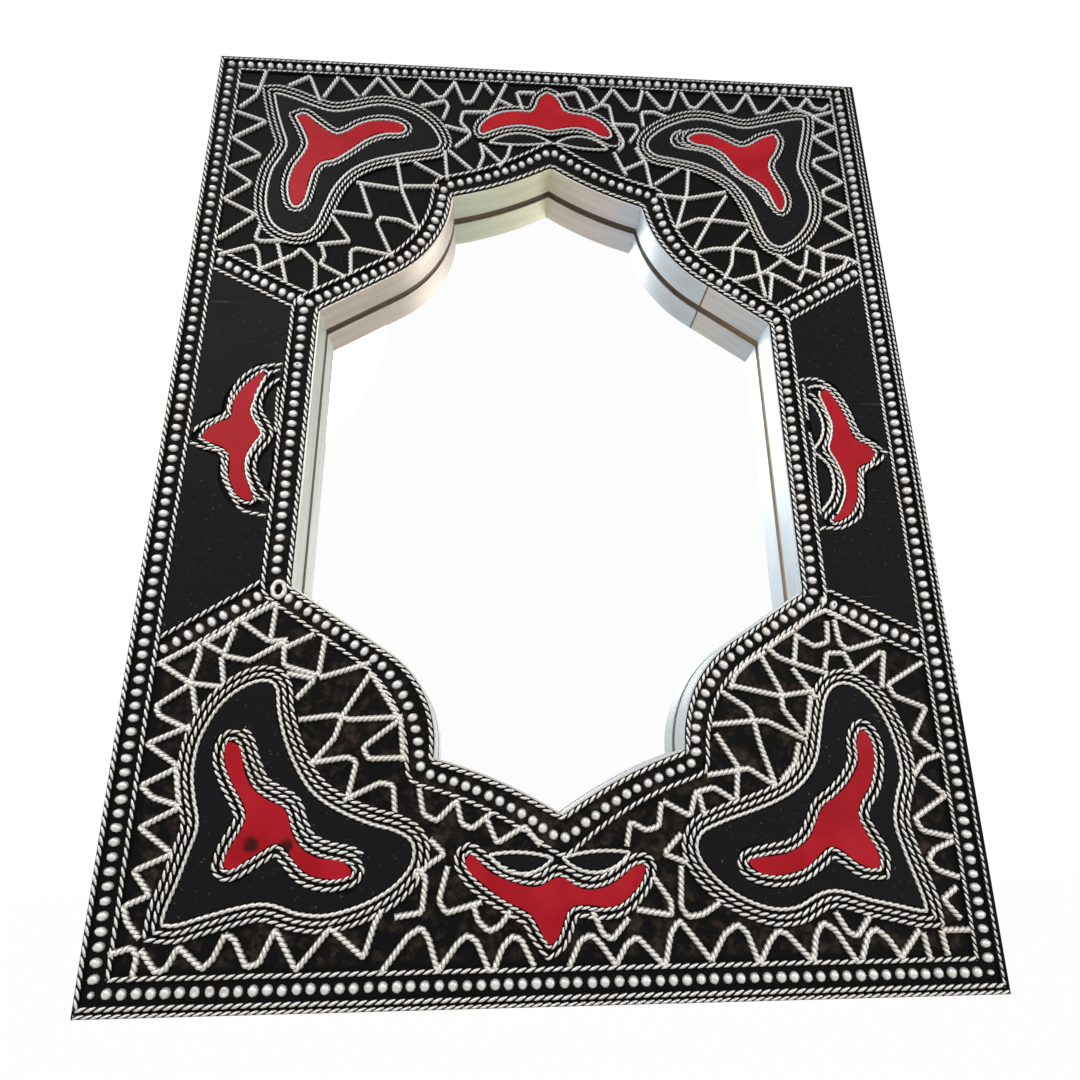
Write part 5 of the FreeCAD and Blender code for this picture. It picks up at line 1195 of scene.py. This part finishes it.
borderRow = []
corners = borderCorners("beads")
sideBeads = (("widePitch", "round"), ("pitch", "oval"), ("widePitch", "even"), ("widePitch", "oval"))
for a, b, (pitch, form) in zip(corners, corners[1:] + corners[:1], sideBeads):
    borderRow += rowOf([a, b], beadLook[pitch], form)[:-1]
slimPart = {"leftOf": -110, "above": 25}  # the upper part of the left border has slim beads
borderRow = [(spot, along, "slim" if spot.x < slimPart["leftOf"] and spot.y > slimPart["above"] else form)
             for spot, along, form in borderRow]
beadPiece("beads_border", borderRow, "border_beads")
beadLine = soften(beside(rowLine, -openingLook["beadStep"]), eased["beads"])
openingRow = rowOf(beadLine, beadLook["pitch"], "oval", True)
apexHeight = 96  # beyond it the beads of the opening's row are rounder
openingRow = [(spot, along, form if abs(spot.y) < apexHeight else "even" if spot.y > 0 else "round")
              for spot, along, form in openingRow]
beadPiece("beads_opening", openingRow, "opening_beads")
slantRow = []
for quarter in quarters:
    a, b = slantEnds(quarter, 0.0)
    along = (b - a).normalized()
    ends = [a + along * slantLook["beadStart"], b + along * slantLook["beadRoom"][quarter]]
    slantRow += rowOf(ends, beadLook["pitch"], "oval")
beadPiece("beads_slanted_rows", slantRow, "slanted_row_beads")
for master in list(teeth.values()) + beads + [piercedBead, filedBead]:
    bpy.data.objects.remove(master)

# CAD nodes that keep their shape get their finish
nodeFinishes = {
    "black_ground": "ground", "side_panel_left": "field", "side_panel_right": "field",
    "almond_cells": "field", "mirror_pane": "mirror", "front_board": "board", "batten_left": "batten",
    "batten_right": "batten", "batten_top": "rail", "batten_bottom": "rail", "back_board": "back",
    "packing_board": "back", "back_nails": "steel", "hanger_plate": "steel", "hanger_screws": "steel",
    "hanger_ring": "steel",
}
for quarter in quarters:
    nodeFinishes["medallion_" + quarter] = "field"
for place in list(quarters) + ["top", "bottom", "left", "right"]:
    nodeFinishes["inlay_" + place] = "red"
for node in linerTints:
    nodeFinishes[node] = node
for node, finish in nodeFinishes.items():
    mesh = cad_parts[node].data
    mesh.materials.clear()
    mesh.materials.append(finishes[finish])
print("nodes dressed:", len(nodeFinishes))

# Floor, light and camera, whose place and turn are fitted to the photograph
studio = {
    "floor": -0.75, "floorSize": 12.0, "floorGlow": 0.985, "worldFill": 0.55,
    "sensor": 36.0, "lens": 772.357 / 1080 * 36, "nearest": 0.01, "place": (-0.01864, -0.24499, -0.10398),
    "right": (0.99791, -0.06399, -0.00936), "up": (-0.01097, -0.31009, 0.95064),
    "back": (-0.06374, -0.94855, -0.31014),
}
lamps = {
    "key": {"place": (-0.55, -1.0, 0.75), "size": 0.7, "power": 9.0},
    "fill": {"place": (0.8, -0.9, 0.1), "size": 0.8, "power": 4.0},
}


def whiteToCamera(tree, strength):
    # seen directly, in metal or through glass it is white; as a lamp it is dimmer
    start = Shade(tree)
    rays = [start.node("LightPath", {}, {}, key) for key in
            ("Is Camera Ray", "Is Glossy Ray", "Is Transmission Ray")]
    seen = rays[0].math("MAXIMUM", rays[1]).math("MAXIMUM", rays[2])
    return seen + (1 - seen) * strength


world = bpy.data.worlds.new("studio")
bpy.context.scene.world = world
world.use_nodes = True
glow = whiteToCamera(world.node_tree, studio["worldFill"])
glow.feed(world.node_tree.nodes["Background"], {"Color": (1, 1, 1, 1), "Strength": glow})

deselectAll()
bpy.ops.mesh.primitive_plane_add(size=studio["floorSize"], location=(0, 0, studio["floor"]))
floor = bpy.context.object
floor.name = "studio_floor"
floorFinish = bpy.data.materials.new("pale floor")
floorFinish.use_nodes = True
floorShader = floorFinish.node_tree.nodes["Principled BSDF"]
matt = Shade(floorFinish.node_tree, floorShader.outputs[0])
matt.feed(floorShader, {"Base Color": (0.88, 0.88, 0.87, 1), "Roughness": 0.8})
glow = matt.node("Emission", {}, {"Color": (1, 1, 1, 1), "Strength": 1.0})
seen = matt.node("LightPath", {}, {}, "Is Camera Ray")
blend = matt.node("MixShader", {}, {0: seen * studio["floorGlow"], 1: matt, 2: glow})
blend.feed(floorFinish.node_tree.nodes["Material Output"], {"Surface": blend})
floor.data.materials.append(floorFinish)
floor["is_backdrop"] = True

for name, look in lamps.items():
    data = bpy.data.lights.new(name, "AREA")
    data.shape = "DISK"
    data.size = look["size"]
    data.energy = look["power"]
    made = bpy.data.objects.new(name, data)
    made.location = look["place"]
    made.rotation_euler = (-Vector(look["place"])).to_track_quat("-Z", "Y").to_euler()
    bpy.context.collection.objects.link(made)

cameraData = bpy.data.cameras.new("photo view")
cameraData.sensor_width = studio["sensor"]
cameraData.lens = studio["lens"]
cameraData.clip_start = studio["nearest"]
camera = bpy.data.objects.new("photo view", cameraData)
bpy.context.collection.objects.link(camera)
columns = zip(*(studio[key] for key in ("right", "up", "back", "place")))
camera.matrix_world = Matrix((*columns, (0, 0, 0, 1)))
bpy.context.scene.camera = camera
bpy.context.scene.view_settings.view_transform = "Standard"

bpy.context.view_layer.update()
faces = [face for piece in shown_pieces() if piece.type == "MESH" for face in piece.data.polygons]
print("triangles:", sum(len(face.vertices) - 2 for face in faces))
